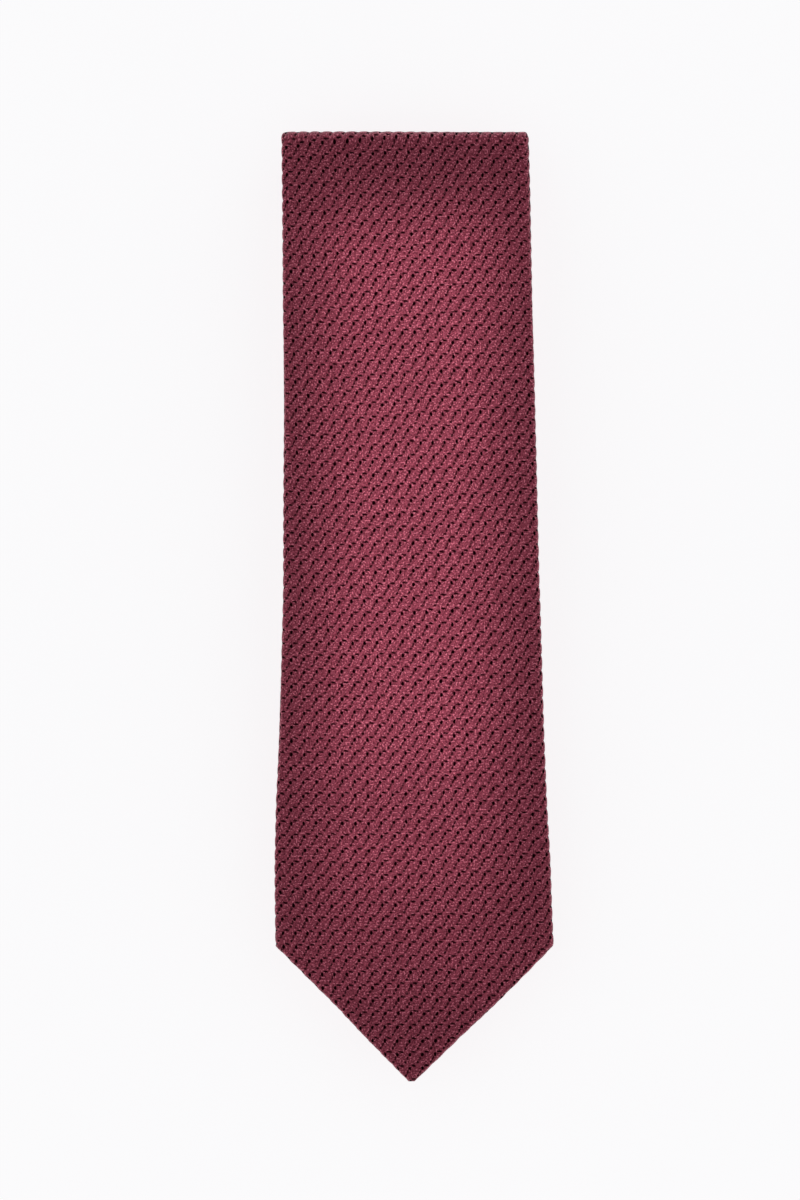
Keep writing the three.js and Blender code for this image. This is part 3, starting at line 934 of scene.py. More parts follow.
@dataclass
class TieForm:
    """The tie's widths, thickness and path, from the CAD frame and a few sizes of the cloth, in mm.

    Stations pair a distance along the tie with the width there. Leans pair it with how far the middle line
    stands to the right of the frame's.
    """

    run_names: tuple[str, ...] = ("blade", "taper", "knot", "collar", "tail_band", "tail")
    stations: tuple[tuple[float, float], ...] = (
        (39.0, 80.0), (62.4, 79.3), (99.9, 76.2), (144.5, 73.5), (191.4, 72.3), (273.4, 71.0), (402.5, 61.0),
        (537.4, 48.8), (672.3, 39.9), (860.0, 34.0), (1040.0, 34.0), (1248.8, 38.3), (1457.5, 46.0),
    )
    leans: tuple[tuple[float, float], ...] = (
        (0.0, 0.6), (13.5, 1.0), (22.0, 1.6), (39.5, 1.45), (51.0, 1.15), (80.0, 0.6), (138.0, 0.6),
        (167.0, 0.3), (196.0, 0.0), (224.0, -0.5), (253.0, -0.85), (273.4, -1.25), (516.0, 1.1),
        (758.0, -0.9), (999.0, 1.2), (1241.0, -0.7), (1480.0, 0.9),
    )
    tip_width: float = 1.7
    half_thickness: float = 1.3
    layer_spring: float = 0.16
    sway: float = 0.25
    sway_along: float = 31.0
    sway_across: float = 19.0
    dome: float = 3.4
    dome_power: float = 2.4
    dome_run: float = 34.0
    dome_onset: float = 1.6
    tip_sink: float = 4.4
    sink_from: float = -52.0
    fold_names: tuple[str, ...] = ("front_fold", "taper_fold", "knot_fold", "collar_fold", "tail_fold")
    folds: list[Fold] = field(default_factory=list)
    runs: list[Run] = field(default_factory=list)

    def __post_init__(self) -> None:
        """Reads the folds and runs from the CAD frame."""
        for name, upper, lower in zip(self.fold_names, self.run_names, self.run_names[1:]):
            low, high = cad_box(f"{name}_shell")
            heading = 1.0 if high[1] > 0.0 else -1.0
            tangent = low[1] if heading > 0.0 else high[1]
            levels = (high[2] - self.half_thickness, low[2] + self.half_thickness)
            self.folds.append(Fold(name, upper, lower, tangent, heading, *levels))
        wide_tip = cad_box("blade_shell")[0][1]
        narrow_tip = cad_box("tail_shell")[0][1]
        turns = [wide_tip, *[fold.tangent for fold in self.folds], narrow_tip]
        levels = [self.folds[0].upper_level, *[fold.lower_level for fold in self.folds]]
        radii = [*[fold.radius for fold in self.folds], 1.0]
        start = 0.0
        for order, name in enumerate(self.run_names):
            heading = 1.0 if order % 2 == 0 else -1.0
            length = abs(turns[order + 1] - turns[order])
            run = Run(name, start, length, turns[order], heading, levels[order], radii[order])
            self.runs.append(run)
            start = run.end

    @property
    def length(self) -> float:
        """The whole tie's length."""
        return self.runs[-1].start + self.runs[-1].length

    def run(self, name: str) -> Run:
        """The run with that name."""
        return self.runs[self.run_names.index(name)]

    def cloth(self, run: Run, kind: str, name: str, folded: bool) -> tuple[tuple[str, ...], tuple[str, ...]]:
        """The bodies and the CAD nodes of a cloth on a run, alone or with the fold after the run.

        Args:
            run: the run.
            kind: the last word of its CAD nodes' names.
            name: the rest of the name of its node on the run.
            folded: whether it goes on round the fold.

        Returns:
            The body, or the lower and the upper body, and then the nodes.
        """
        if not folded:
            return (run.name,), (f"{name}_{kind}",)
        fold = next(fold for fold in self.folds if fold.upper == run.name)
        return (fold.lower, fold.upper), (f"{name}_{kind}", f"{fold.name}_{kind}")

    def half_width(self, along: np.ndarray) -> np.ndarray:
        """Half the tie's width, straight between stations and down to the blunt points at both tips."""
        tips = ((0.0, self.tip_width), (self.length, self.tip_width))
        return np.interp(along, *zip(tips[0], *self.stations, tips[1])) / 2.0

    def weave_width(self, along: np.ndarray) -> np.ndarray:
        """The width that spreads the weave's columns, which the cut tips don't narrow."""
        return np.interp(along, *zip(*self.stations))

    def fullness(self, along: np.ndarray) -> np.ndarray:
        """The share of the thickness left near a tip, closing in a quarter circle over the last of it."""
        from_tip = np.minimum(along, self.length - along)
        return rounded(from_tip / self.half_thickness)

    def place(self, along: Any, across: Any, height: Any) -> np.ndarray:
        """Points in the frame, in millimetres.

        On a run the middle goes straight. On the fold after it, it turns by the distance gone round over
        the radius: it moves on by the radius times the sine, and down by the radius times one less the
        cosine. The height is added along the front face's direction, which turns with it. Then the cloth
        settles.

        Args:
            along: distance along the tie from the wide tip.
            across: distance to the right of the middle line, seen from the front face.
            height: distance from the middle of the thickness towards the front face.

        Returns:
            Points with three numbers on the last axis.
        """
        numbers = [np.asarray(part, float) for part in (along, across, height)]
        along, across, height = np.broadcast_arrays(*numbers)
        starts = np.array([run.start for run in self.runs])
        which = np.clip(np.searchsorted(starts, along + 1e-9, side="right") - 1, 0, len(starts) - 1)
        of_run = {
            key: np.array([getattr(run, key) for run in self.runs])[which]
            for key in ("start", "length", "y_start", "heading", "level", "radius")
        }
        gone = along - of_run["start"]
        turn = np.clip((gone - of_run["length"]) / of_run["radius"], 0.0, math.pi)
        straight = np.minimum(gone, of_run["length"])
        out_y = of_run["heading"] * np.sin(turn)
        out_z = np.cos(turn)
        y = of_run["y_start"] + of_run["heading"] * straight + of_run["radius"] * out_y
        z = of_run["level"] - of_run["radius"] * (1.0 - out_z)
        x = across + np.interp(along, *zip(*self.leans))
        y = y + of_run["heading"] * out_y * height
        z = z + of_run["heading"] * out_z * height
        layer = len(self.runs) - 1 - which
        return np.stack([x, y, z + self._settling(layer, across, y)], axis=-1)

    def _settling(self, layer: np.ndarray, across: np.ndarray, y: np.ndarray) -> np.ndarray:
        """How far the cloth stands above its place.

        Each layer springs up by an equal share more than the one below, as a squared sine between the
        folds that sways by slow waves both ways. The wide blade is domed: its middle stands higher than its
        sides by a power of the distance across, the dome rises smoothly away from the fold, and the tip
        sinks by the square of the distance past the place where it starts to.

        Args:
            layer: 0 for the lowest run, 5 for the wide blade.
            across: distance from the middle line.
            y: the place along the frame.

        Returns:
            The height to add, in millimetres.
        """
        near, far = self.folds[1].tangent, self.folds[0].tangent
        between = np.clip((y - near) / (far - near), 0.0, 1.0)
        spring = self.layer_spring * layer * np.sin(math.pi * between) ** 2
        sway = self.sway * np.sin(y / self.sway_along) * np.cos(across / self.sway_across)
        spring = spring * (1.0 + sway)
        is_blade = layer == len(self.runs) - 1
        bow = 1.0 - np.abs(across / (self.stations[0][1] / 2.0)) ** self.dome_power
        rise = 1.0 - (1.0 - eased(far - y, 0.0, self.dome_run)) ** self.dome_onset
        beyond = np.clip(self.sink_from - y, 0.0, None) / (self.sink_from - self.runs[0].y_start)
        blade = self.dome * bow * rise - self.tip_sink * beyond**2
        return spring + np.where(is_blade, blade, 0.0)


def cad_box(node: str) -> tuple[np.ndarray, np.ndarray]:
    """A CAD node's lowest and highest corners, in millimetres."""
    low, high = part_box(node)
    return np.array(low) / MM, np.array(high) / MM


@dataclass(frozen=True)
class BackOpening:
    """Where the two back flaps part near a tip: a kite with its points on the middle line.

    Distances along are from the tip.
    """

    near: float
    corner_along: float
    corner_across: float
    far: float
    lap_over: float = 9.0

    def half(self, from_tip: np.ndarray, spare: float = 0.0) -> np.ndarray:
        """Half the opening's width at a distance from the tip, widened by a spare margin."""
        places = (self.near - spare, self.corner_along, self.far + spare)
        return np.interp(from_tip, places, (0.0, self.corner_across + spare, 0.0))

    def lapped(self, from_tip: np.ndarray) -> np.ndarray:
        """The share by which one flap has gone under the other, 0 by the opening and 1 past it."""
        return eased(from_tip, self.far, self.far + self.lap_over)


BLADE_OPENING = BackOpening(15.6, 44.5, 30.0, 104.0)
TAIL_OPENING = BackOpening(11.3, 26.5, 16.0, 62.0)


@dataclass
class SilkCut:
    """The silk of one stretch of the tie, wrapped round it and lapped down the middle of the back.

    A lane counts across the wrapped cloth: 0 is the middle of the front, 0.5 where the side starts to
    roll, 1.5 where it has rolled onto the back, and 2.5 the flap's own edge. Left lanes are negative.
    """

    form: TieForm
    name: str
    bodies: tuple[str, ...]
    nodes: tuple[str, ...]
    start: float
    end: float
    slant_start: float = 0.0
    slant_end: float = 0.0
    origin: float = 0.0
    row_space: float = 0.9
    front_spaces: int = 64
    roll_spaces: int = 8
    flap_spaces: int = 28
    flap_edge_lanes: tuple[float, ...] = (0.985, 0.993, 0.998, 1.0)
    fold_spaces: int = 14
    tip_rows: int = 4
    tip_clear: float = 1.5
    thickness: float = 0.45
    sink: float = 0.16
    over_edge: float = -0.6
    under_edge: float = -4.5
    edge_round: float = 0.5
    most_roll: float = 0.9
    most_depth: float = 0.8
    least_flat: float = 0.05
    lap_blend: tuple[float, float] = (-0.3, 0.9)
    tuck: float = 0.52
    pressed: float = 0.55
    seam_pinch: float = 0.35
    seam_reach: float = 0.7

    def lanes(self) -> np.ndarray:
        """The lanes of the grid's columns, closer together at the flap edges.

        Returns:
            The lanes from the left flap's edge round to the right one's.
        """
        last_even, *closer = self.flap_edge_lanes
        right = 1.5 + np.append(np.linspace(0.0, last_even, self.flap_spaces - 2), closer)
        roll = np.linspace(0.5, 1.5, self.roll_spaces, endpoint=False)
        front = np.linspace(-0.5, 0.5, self.front_spaces, endpoint=False)
        return np.concatenate([-right[::-1], -roll[:0:-1], front, roll, right])

    def rows(self) -> np.ndarray:
        """The grid's rows before any slant: even on the run, and closer on its fold and at a tip.

        Returns:
            Their distances along the tie, an odd number of them.
        """
        length = self.form.length
        run = self.form.run(self.bodies[-1])
        straight_end = min(self.end, run.start + run.length)
        spaces = 2 * round((straight_end - self.start) / self.row_space / 2.0)
        rows = np.linspace(self.start, straight_end, spaces + 1)
        if self.end > straight_end:
            rows = np.append(rows, np.linspace(straight_end, self.end, self.fold_spaces + 1)[1:])
        turns = np.linspace(0.0, math.pi / 2.0, self.tip_rows + 1)[:-1]
        closer = self.form.half_thickness * (1.0 - np.cos(turns))
        if self.start == 0.0:
            rows = np.concatenate([closer, rows[rows > self.tip_clear]])
        if self.end >= length:
            rows = np.concatenate([rows[rows < length - self.tip_clear], (length - closer)[::-1]])
        if len(rows) % 2 == 0:
            middle = len(rows) // 2
            rows = np.insert(rows, middle, (rows[middle - 1] + rows[middle]) / 2.0)
        return rows

    def opening(self, along: np.ndarray) -> tuple[np.ndarray, np.ndarray]:
        """The back's opening at a distance along the tie.

        Args:
            along: distance along the tie.

        Returns:
            Half the opening's width, and how far the flaps have lapped.
        """
        to_end = self.form.length - along
        half = BLADE_OPENING.half(along) + TAIL_OPENING.half(to_end)
        return half, BLADE_OPENING.lapped(along) * TAIL_OPENING.lapped(to_end)

    def section(self, along: np.ndarray, lane: np.ndarray, depth: float) -> dict[str, np.ndarray]:
        """The wrapped cloth at some depth below its outer face.

        The front is flat, each side is half an ellipse, and each flap is flat on the back. A flap's edge
        closes in a quarter circle. The left flap dips by its tuck, and is pressed thinner, where the right
        one lies over it.

        Args:
            along: distance along the tie.
            lane: where across the cloth.
            depth: distance below the outer face.

        Returns:
            Arrays for across, height, the outward direction, distance round the cloth, and how full the
            weave's relief is there.
        """
        half = self.form.half_width(along)
        full = self.form.fullness(along)
        level = self.form.half_thickness * full
        roll = np.minimum(self.form.half_thickness, self.most_roll * half)
        flat = half - roll
        deepest = self.most_depth * level
        deep = np.minimum(depth, deepest)
        side = np.where(lane < 0.0, -1.0, 1.0)
        away = np.abs(lane)
        turn = np.clip(away - 0.5, 0.0, 1.0) * math.pi
        flap = np.clip(away - 1.5, 0.0, 1.0)
        on_flap = flap > 0.0
        gap, lapped = self.opening(along)
        lap_edge = np.where(side < 0.0, self.under_edge, self.over_edge)
        edge = np.minimum(gap, flat - self.least_flat) + lap_edge * lapped
        straight = flat * np.clip(away / 0.5, 0.0, 1.0)
        across = straight + (roll - deep) * np.sin(turn) - (flat - edge) * flap
        to_edge = (flat - edge) * (1.0 - flap)
        closing = np.where(on_flap, rounded(to_edge / self.edge_round), 1.0)
        under = np.where(side < 0.0, (1.0 - eased(across, *self.lap_blend)) * lapped, 0.0) * on_flap
        middle = 0.5 * np.minimum(self.thickness, deepest)
        buried = middle + (deep - middle) * closing * (1.0 - self.pressed * under)
        flap_height = buried - level + self.tuck * under
        height = np.where(on_flap, flap_height, (level - deep) * np.cos(turn))
        around = straight + turn * (roll + level) / 2.0 + (flat - edge) * flap
        return {
            "across": side * across,
            "height": height,
            "out_across": side * np.sin(turn),
            "out_height": np.cos(turn),
            "around": side * around,
            "fullness": full * closing * (1.0 - under),
        }

    def _slanted(self, rows: np.ndarray, lanes: np.ndarray) -> np.ndarray:
        """Distances along for the whole grid, slanted towards a cut end that runs on the bias.

        An end's slant is the distance along that it gains for each millimetre across.

        Args:
            rows: the grid's rows before any slant.
            lanes: the grid's lanes.

        Returns:
            A distance along for each point of the grid.
        """
        share = (rows - self.start) / (self.end - self.start)
        along = np.broadcast_to(rows[:, None], (len(rows), len(lanes)))
        across = self.section(along, lanes[None, :], 0.0)["across"]
        lean = self.slant_start * (1.0 - share) + self.slant_end * share
        return along + lean[:, None] * across

    def _surface(self, along: np.ndarray, lane: np.ndarray, depth: float) -> tuple[np.ndarray, np.ndarray]:
        """Points of the cloth at a depth, and their places in the weave.

        The outer face has the weave's relief. A bias seam pinches it by a bell of the distance off the seam.

        Args:
            along: distance along the tie for each point.
            lane: lane of each point.
            depth: distance below the outer face.

        Returns:
            The points, and columns and rows of the weave.
        """
        part = self.section(along, lane, depth)
        cells = WEAVE.cells(part["around"], along, self.form.weave_width(along), self.origin)
        proud = np.zeros_like(along)
        if depth == 0.0:
            proud = (WEAVE.relief(cells) - self.sink) * part["fullness"]
            for slant, end in ((self.slant_start, self.start), (self.slant_end, self.end)):
                if slant:
                    off = (along - end - slant * part["across"]) / math.hypot(1.0, slant)
                    proud = proud - self.seam_pinch * np.exp(-((off / self.seam_reach) ** 2))
        across = part["across"] + proud * part["out_across"]
        height = part["height"] + proud * part["out_height"]
        return self.form.place(along, across, height), cells

    def build(self, material: bpy.types.Material) -> bpy.types.Object:
        """Makes the piece and dresses it, hiding the CAD nodes it stands for.

        Args:
            material: the silk.

        Returns:
            The finished piece.
        """
        rows, lanes = self.rows(), self.lanes()
        along = self._slanted(rows, lanes)
        lane = np.broadcast_to(lanes[None, :], along.shape)
        outside, cells = self._surface(along, lane, 0.0)
        inside, _ = self._surface(along[::2, ::2], lane[::2, ::2], self.thickness)
        piece = closed_cloth(f"{self.name}_silk", outside, inside, cells)
        self._declare()
        attach(piece, material, self.form, self.bodies, self.nodes)
        return piece

    def _declare(self, stations: int = 200) -> None:
        """Args:
            stations: how many places along it the girth is taken at.
        """
        along = np.linspace(self.start, self.end, stations)
        edges = [self.section(along, np.full(stations, lane), 0.0)["around"] for lane in (-2.5, 2.5)]
        girth = (edges[1] - edges[0]) * MM
        length = (self.end - self.start) * MM
        area = float(girth.mean()) * length


def attach(
    piece: bpy.types.Object,
    material: bpy.types.Material,
    form: TieForm,
    bodies: tuple[str, ...],
    nodes: tuple[str, ...],
) -> None:
    """Dresses a finished piece, joins it to its body when it has only one, and hides the CAD nodes it stands
    for.

    Args:
        piece: the piece.
        material: its finish.
        form: the tie's form, for the fold that it crosses.
        bodies: one body to ride on, or the lower and the upper body of the fold where it is only baked in
            place.
        nodes: the CAD nodes it stands for.
    """
    piece.data.materials.append(material)
    if len(bodies) == 1:
        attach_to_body(piece, bodies[0])
    else:
        fold = next(fold for fold in form.folds if (fold.lower, fold.upper) == bodies)
        fold.bend(piece, form.half_thickness)
    if nodes:
        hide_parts(*nodes)
    LOG.info("%s: %d faces, rides on %s", piece.name, len(piece.data.polygons), ", ".join(bodies))


@dataclass(frozen=True)
class Sewing:
    """Sewing thread and what all of it shares: the tie's form and the thread's finish."""

    form: TieForm
    material: bpy.types.Material

    def thread(
        self,
        name: str,
        path: tuple[Any, Any, Any],
        radius: float,
        body: str,
        nodes: tuple[str, ...],
        steady: tuple = (1.0, 0.0, 0.0),
        sides: int = 6,
    ) -> bpy.types.Object:
        """Sews one thread.

        Args:
            name: the piece's name.
            path: its distances along, across and in height.
            radius: the thread's radius.
            body: the body it rides on.
            nodes: the CAD nodes it stands for.
            steady: a direction that the thread never takes.
            sides: corners of its section.

        Returns:
            The finished thread.
        """
        piece = thread_tube(name, self.form.place(*path), radius, steady, sides)
        attach(piece, self.material, self.form, (body,), nodes)
        return piece


def spread_stitches(
    start: float, end: float, pitch: float, points_each: int
) -> tuple[np.ndarray, np.ndarray]:
    """Spreads stitches of about one pitch evenly between two places.

    Args:
        start: where the row starts along the tie.
        end: where it ends.
        pitch: the length of a stitch, before it is rounded to a whole number of them.
        points_each: points of the thread in a stitch.

    Returns:
        For each point of the thread, how many stitches lie before it, and its distance along the tie.
    """
    count = max(2, round((end - start) / pitch))
    share = np.linspace(0.0, count, count * points_each + 1)
    return share, start + (end - start) * share / count


# ---------------------------------------------------------------------------------------------------------
# What is inside the silk and sewn to it
# ---------------------------------------------------------------------------------------------------------


@dataclass
class Interlining:
    """The wool strip inside one run and its fold."""

    form: TieForm
    run: Run
    bodies: tuple[str, ...]
    nodes: tuple[str, ...]
    thickness: float = 1.0
    inset: float = 1.1
    least_half: float = 0.3
    row_space: float = 3.0
    fold_spaces: int = 10
    column_spaces: int = 12

    def build(self, material: bpy.types.Material) -> bpy.types.Object:
        """Makes a flat strip whose two faces lie half its thickness from the tie's middle.

        Args:
            material: the wool.

        Returns:
            The finished strip.
        """
        form, run = self.form, self.run
        first = run.start + (self.inset if run.start == 0.0 else 0.0)
        straight_end = min(run.start + run.length, form.length - self.inset)
        last = min(run.end, form.length - self.inset)
        spaces = 2 * round((straight_end - first) / self.row_space / 2.0)
        rows = np.linspace(first, straight_end, spaces + 1)
        if last > straight_end:
            rows = np.append(rows, np.linspace(straight_end, last, self.fold_spaces + 1)[1:])
        half = np.maximum(form.half_width(rows) - self.inset, self.least_half)[:, None]
        across = half * np.linspace(-1.0, 1.0, self.column_spaces + 1)[None, :]
        outside = form.place(rows[:, None], across, self.thickness / 2.0)
        inside = form.place(rows[::2, None], across[::2, ::2], -self.thickness / 2.0)
        cloth = np.stack(np.broadcast_arrays(across, rows[:, None]), axis=-1)
        piece = closed_cloth(f"{run.name}_wool", outside, inside, cloth)
        flat = (2.0 * float(half.max()) * MM, (last - first) * MM)
        attach(piece, material, form, self.bodies, self.nodes)
        return piece


@dataclass
class SlipStitch:
    """The hand-sewn slip stitch that closes the back of one run.

    The thread comes out through the folded edge, slants over it onto the flap below, and goes back in.
    Its timings are shares of a stitch.
    """

    sewing: Sewing
    run: Run
    start: float
    end: float
    pitch: float = 12.0
    shown: float = 0.27
    dive: float = 0.05
    pause: float = 0.02
    thread: float = 0.17
    swing: float = 0.95
    middle: float = -0.55
    hidden_height: float = -0.86
    shown_height: float = -1.40
    uneven: float = 0.12
    uneven_turn: float = 7.0
    points_each: int = 24

    def build(self) -> bpy.types.Object:
        """Makes the thread.

        In each stitch the height rises and falls with two smooth steps, and the thread swings across
        while it is out and back while it is in. The swing differs from stitch to stitch by a sine of
        their number.

        Returns:
            The finished thread.
        """
        share, along = spread_stitches(self.start, self.end, self.pitch, self.points_each)
        part = share % 1.0
        shown = self.shown
        out = eased(part, 0.0, self.dive) - eased(part, shown - self.dive, shown)
        back = eased(part, shown + self.dive, 1.0 - self.pause)
        cross = eased(part, self.pause, shown - self.pause) - back
        uneven = self.uneven * np.sin(self.uneven_turn * np.floor(share)) * cross
        across = self.middle + self.swing * (2.0 * cross - 1.0) + uneven
        height = self.hidden_height + (self.shown_height - self.hidden_height) * out
        name = self.run.name
        route = (along, across, height)
        return self.sewing.thread(f"{name}_slip_thread", route, self.thread, name, (f"{name}_slip_stitch",))


@dataclass
class ThreadBar:
    """A bar of close wraps of thread, such as a bar tack or the end of the keeper loop."""

    sewing: Sewing
    body: str
    node: str
    start: tuple[float, float]
    end: tuple[float, float]
    height: float
    wraps: int
    half_width: float
    half_height: float = 0.24
    thread: float = 0.15
    points_each: int = 10
    sides: int = 5

    def build(self) -> bpy.types.Object:
        """Makes a flat coil between two places on the tie.

        Its middle goes straight from start to end. Round the middle the thread goes by the cosine of the
        turn to the side and by the sine of it in height.

        Returns:
            The finished bar.
        """
        share = np.linspace(0.0, 1.0, self.wraps * self.points_each + 1)
        turn = 2.0 * math.pi * self.wraps * share
        start, end = np.array(self.start), np.array(self.end)
        ahead = (end - start) / np.linalg.norm(end - start)
        middle = start + share[:, None] * (end - start)
        side = self.half_width * np.cos(turn)
        along = middle[:, 0] - ahead[1] * side
        across = middle[:, 1] + ahead[0] * side
        route = (along, across, self.height + self.half_height * np.sin(turn))
        steady = (float(ahead[1]), float(ahead[0]), 0.0)
        name = f"{self.node}_thread"
        return self.sewing.thread(name, route, self.thread, self.body, (self.node,), steady, self.sides)


@dataclass
class RunningStitch:
    """A row of short straight stitches through the end of a label on the blade."""

    sewing: Sewing
    node: str
    start: float
    end: float
    across: float
    height: float = -1.90
    pitch: float = 2.4
    thread: float = 0.13
    dive: float = 0.30
    going_in: tuple[float, float] = (0.62, 0.74)
    coming_out: tuple[float, float] = (0.88, 1.0)
    uneven: float = 0.06
    uneven_turn: float = 2.1
    points_each: int = 12

    def build(self) -> bpy.types.Object:
        """Makes the thread: in each stitch it lies on the cloth for two thirds and dives for the rest.

        Returns:
            The finished row.
        """
        share, along = spread_stitches(self.start, self.end, self.pitch, self.points_each)
        part = share % 1.0
        inside = eased(part, *self.going_in) - eased(part, *self.coming_out)
        across = self.across + self.uneven * np.sin(share * self.uneven_turn)
        route = (along, across, self.height + self.dive * inside)
        return self.sewing.thread(f"{self.node}_thread", route, self.thread, "blade", (self.node,))


@dataclass
class Tipping:
    """The satin behind a tip, shown in the kite where the back flaps part, and its felling stitches."""

    form: TieForm
    run: Run
    opening: BackOpening
    from_end: bool
    spare: float = 1.6
    end_trim: float = 0.1
    outer_height: float = -0.74
    inner_height: float = -0.58
    row_spaces: int = 90
    column_spaces: int = 40
    pucker: float = 0.05
    pucker_reach: tuple[float, float] = (1.0, 6.0)
    pucker_along: float = 2.1
    pucker_across: float = 0.8
    felling_margin: float = 2.0
    felling_pitch: float = 3.6
    felling_points: int = 401
    felling_inset: float = 0.25
    felling_swing: float = 0.7
    felling_height: float = -0.80
    felling_rise: float = 0.58
    felling_thread: float = 0.11

    def _along(self, from_tip: np.ndarray) -> np.ndarray:
        """Distances along the tie of distances from this tip."""
        return self.form.length - from_tip if self.from_end else from_tip

    def build(self, material: bpy.types.Material) -> bpy.types.Object:
        """Makes the satin a little larger than the kite, so that its edges lie under the flaps.

        Near its edges it puckers, by a sine of the distances along and across.

        Args:
            material: the satin.

        Returns:
            The finished piece.
        """
        opening, spare = self.opening, self.spare
        first, last = opening.near - spare + self.end_trim, opening.far + spare - self.end_trim
        from_tip = np.linspace(first, last, self.row_spaces + 1)
        if self.from_end:
            from_tip = from_tip[::-1]
        half = opening.half(from_tip, spare)[:, None]
        share = np.linspace(1.0, -1.0, self.column_spaces + 1)[None, :]
        across = half * share
        along = self._along(from_tip)[:, None]
        edge = 1.0 - eased(half * (1.0 - np.abs(share)), *self.pucker_reach)
        turn = from_tip[:, None] * self.pucker_along + across * self.pucker_across
        outside = self.form.place(along, across, self.outer_height + self.pucker * edge * np.sin(turn))
        inside = self.form.place(along[::2], across[::2, ::2], self.inner_height)
        cloth = np.stack(np.broadcast_arrays(across, along), axis=-1)
        name = self.run.name
        piece = closed_cloth(f"{name}_tipping_satin", outside, inside, cloth)
        flat = (2.0 * float(half.max()) * MM, (opening.far - opening.near + 2.0 * spare) * MM)
        attach(piece, material, self.form, (name,), (f"{name}_tipping",))
        return piece

    def stitch(self, sewing: Sewing, word: str) -> bpy.types.Object:
        """Makes the felling stitches along one side of the kite.

        The thread follows the flap's edge and steps smoothly over it and back in each stitch.

        Args:
            sewing: the thread.
            word: the side of the kite, left or right.

        Returns:
            The finished row of stitches.
        """
        near, far = self.opening.near, self.opening.far
        from_tip = np.linspace(near + self.felling_margin, far - self.felling_margin, self.felling_points)
        count = round((far - near) / self.felling_pitch)
        part = np.linspace(0.0, count, self.felling_points) % 1.0
        over = eased(part, 0.0, 0.25) - eased(part, 0.55, 0.8)
        side = -1.0 if word == "left" else 1.0
        half = self.opening.half(from_tip)
        across = side * (half + self.felling_swing * over - self.felling_inset)
        route = (self._along(from_tip), across, self.felling_height - self.felling_rise * over)
        name = f"{self.run.name}_{word}_felling"
        return sewing.thread(name, route, self.felling_thread, self.run.name, (), steady=(0.0, 0.0, 1.0))


def back_grid(
    start: float, end: float, half_span: float, along_spaces: int, across_spaces: int
) -> tuple[np.ndarray, np.ndarray]:
    """A grid over a rectangle on the tie's back, facing out from it.

    Args:
        start: where the rectangle starts along the tie.
        end: where it ends.
        half_span: its reach to each side of the middle line.
        along_spaces: spaces along the tie.
        across_spaces: spaces across it.

    Returns:
        The distance along and the distance across of each point.
    """
    along = np.linspace(start, end, along_spaces + 1)[:, None]
    across = np.linspace(half_span, -half_span, across_spaces + 1)[None, :]
    along, across = np.broadcast_arrays(along, across)
    return along, across


@dataclass
class KeeperLoop:
    """The silk strap across the back that holds the narrow end, arched between its two sewn ends."""

    form: TieForm
    start: float
    end: float
    half_span: float
    foot: float = 5.0
    ramp: float = 6.0
    rise: float = 0.75
    thickness: float = 0.5
    lowest: float = -1.42
    edge_round: float = 0.5
    weave_share: float = 0.7
    weave_sink: float = 0.1
    along_spaces: int = 26
    across_spaces: int = 88

    def build(self, material: bpy.types.Material) -> bpy.types.Object:
        """Makes the strap: flat feet, a smooth rise to a flat arch, and rounded folded edges.

        Args:
            material: the silk.

        Returns:
            The finished strap.
        """
        place, half_span = self.form.place, self.half_span
        along, across = back_grid(self.start, self.end, half_span, self.along_spaces, self.across_spaces)
        inner_foot = half_span - self.foot
        arch = self.rise * (1.0 - eased(np.abs(across), inner_foot - self.ramp, inner_foot))
        to_side = np.minimum(along - self.start, self.end - along)
        full = rounded(np.minimum(to_side, half_span - np.abs(across)) / self.edge_round)
        middle = self.lowest - self.thickness / 2.0 - arch
        cells = np.stack([along / WEAVE.column_pitch, across / WEAVE.row_pitch], axis=-1)
        weave = self.weave_share * full * (WEAVE.relief(cells) - self.weave_sink)
        outside = place(along, across, middle - full * self.thickness / 2.0 - weave)
        inside = place(along, across, middle + full * self.thickness / 2.0)[::2, ::2]
        piece = closed_cloth("keeper_loop_silk", outside, inside, cells)
        flat = ((self.end - self.start) * MM, 2.0 * half_span * MM)
        attach(piece, material, self.form, ("blade",), ("keeper_loop",))
        return piece


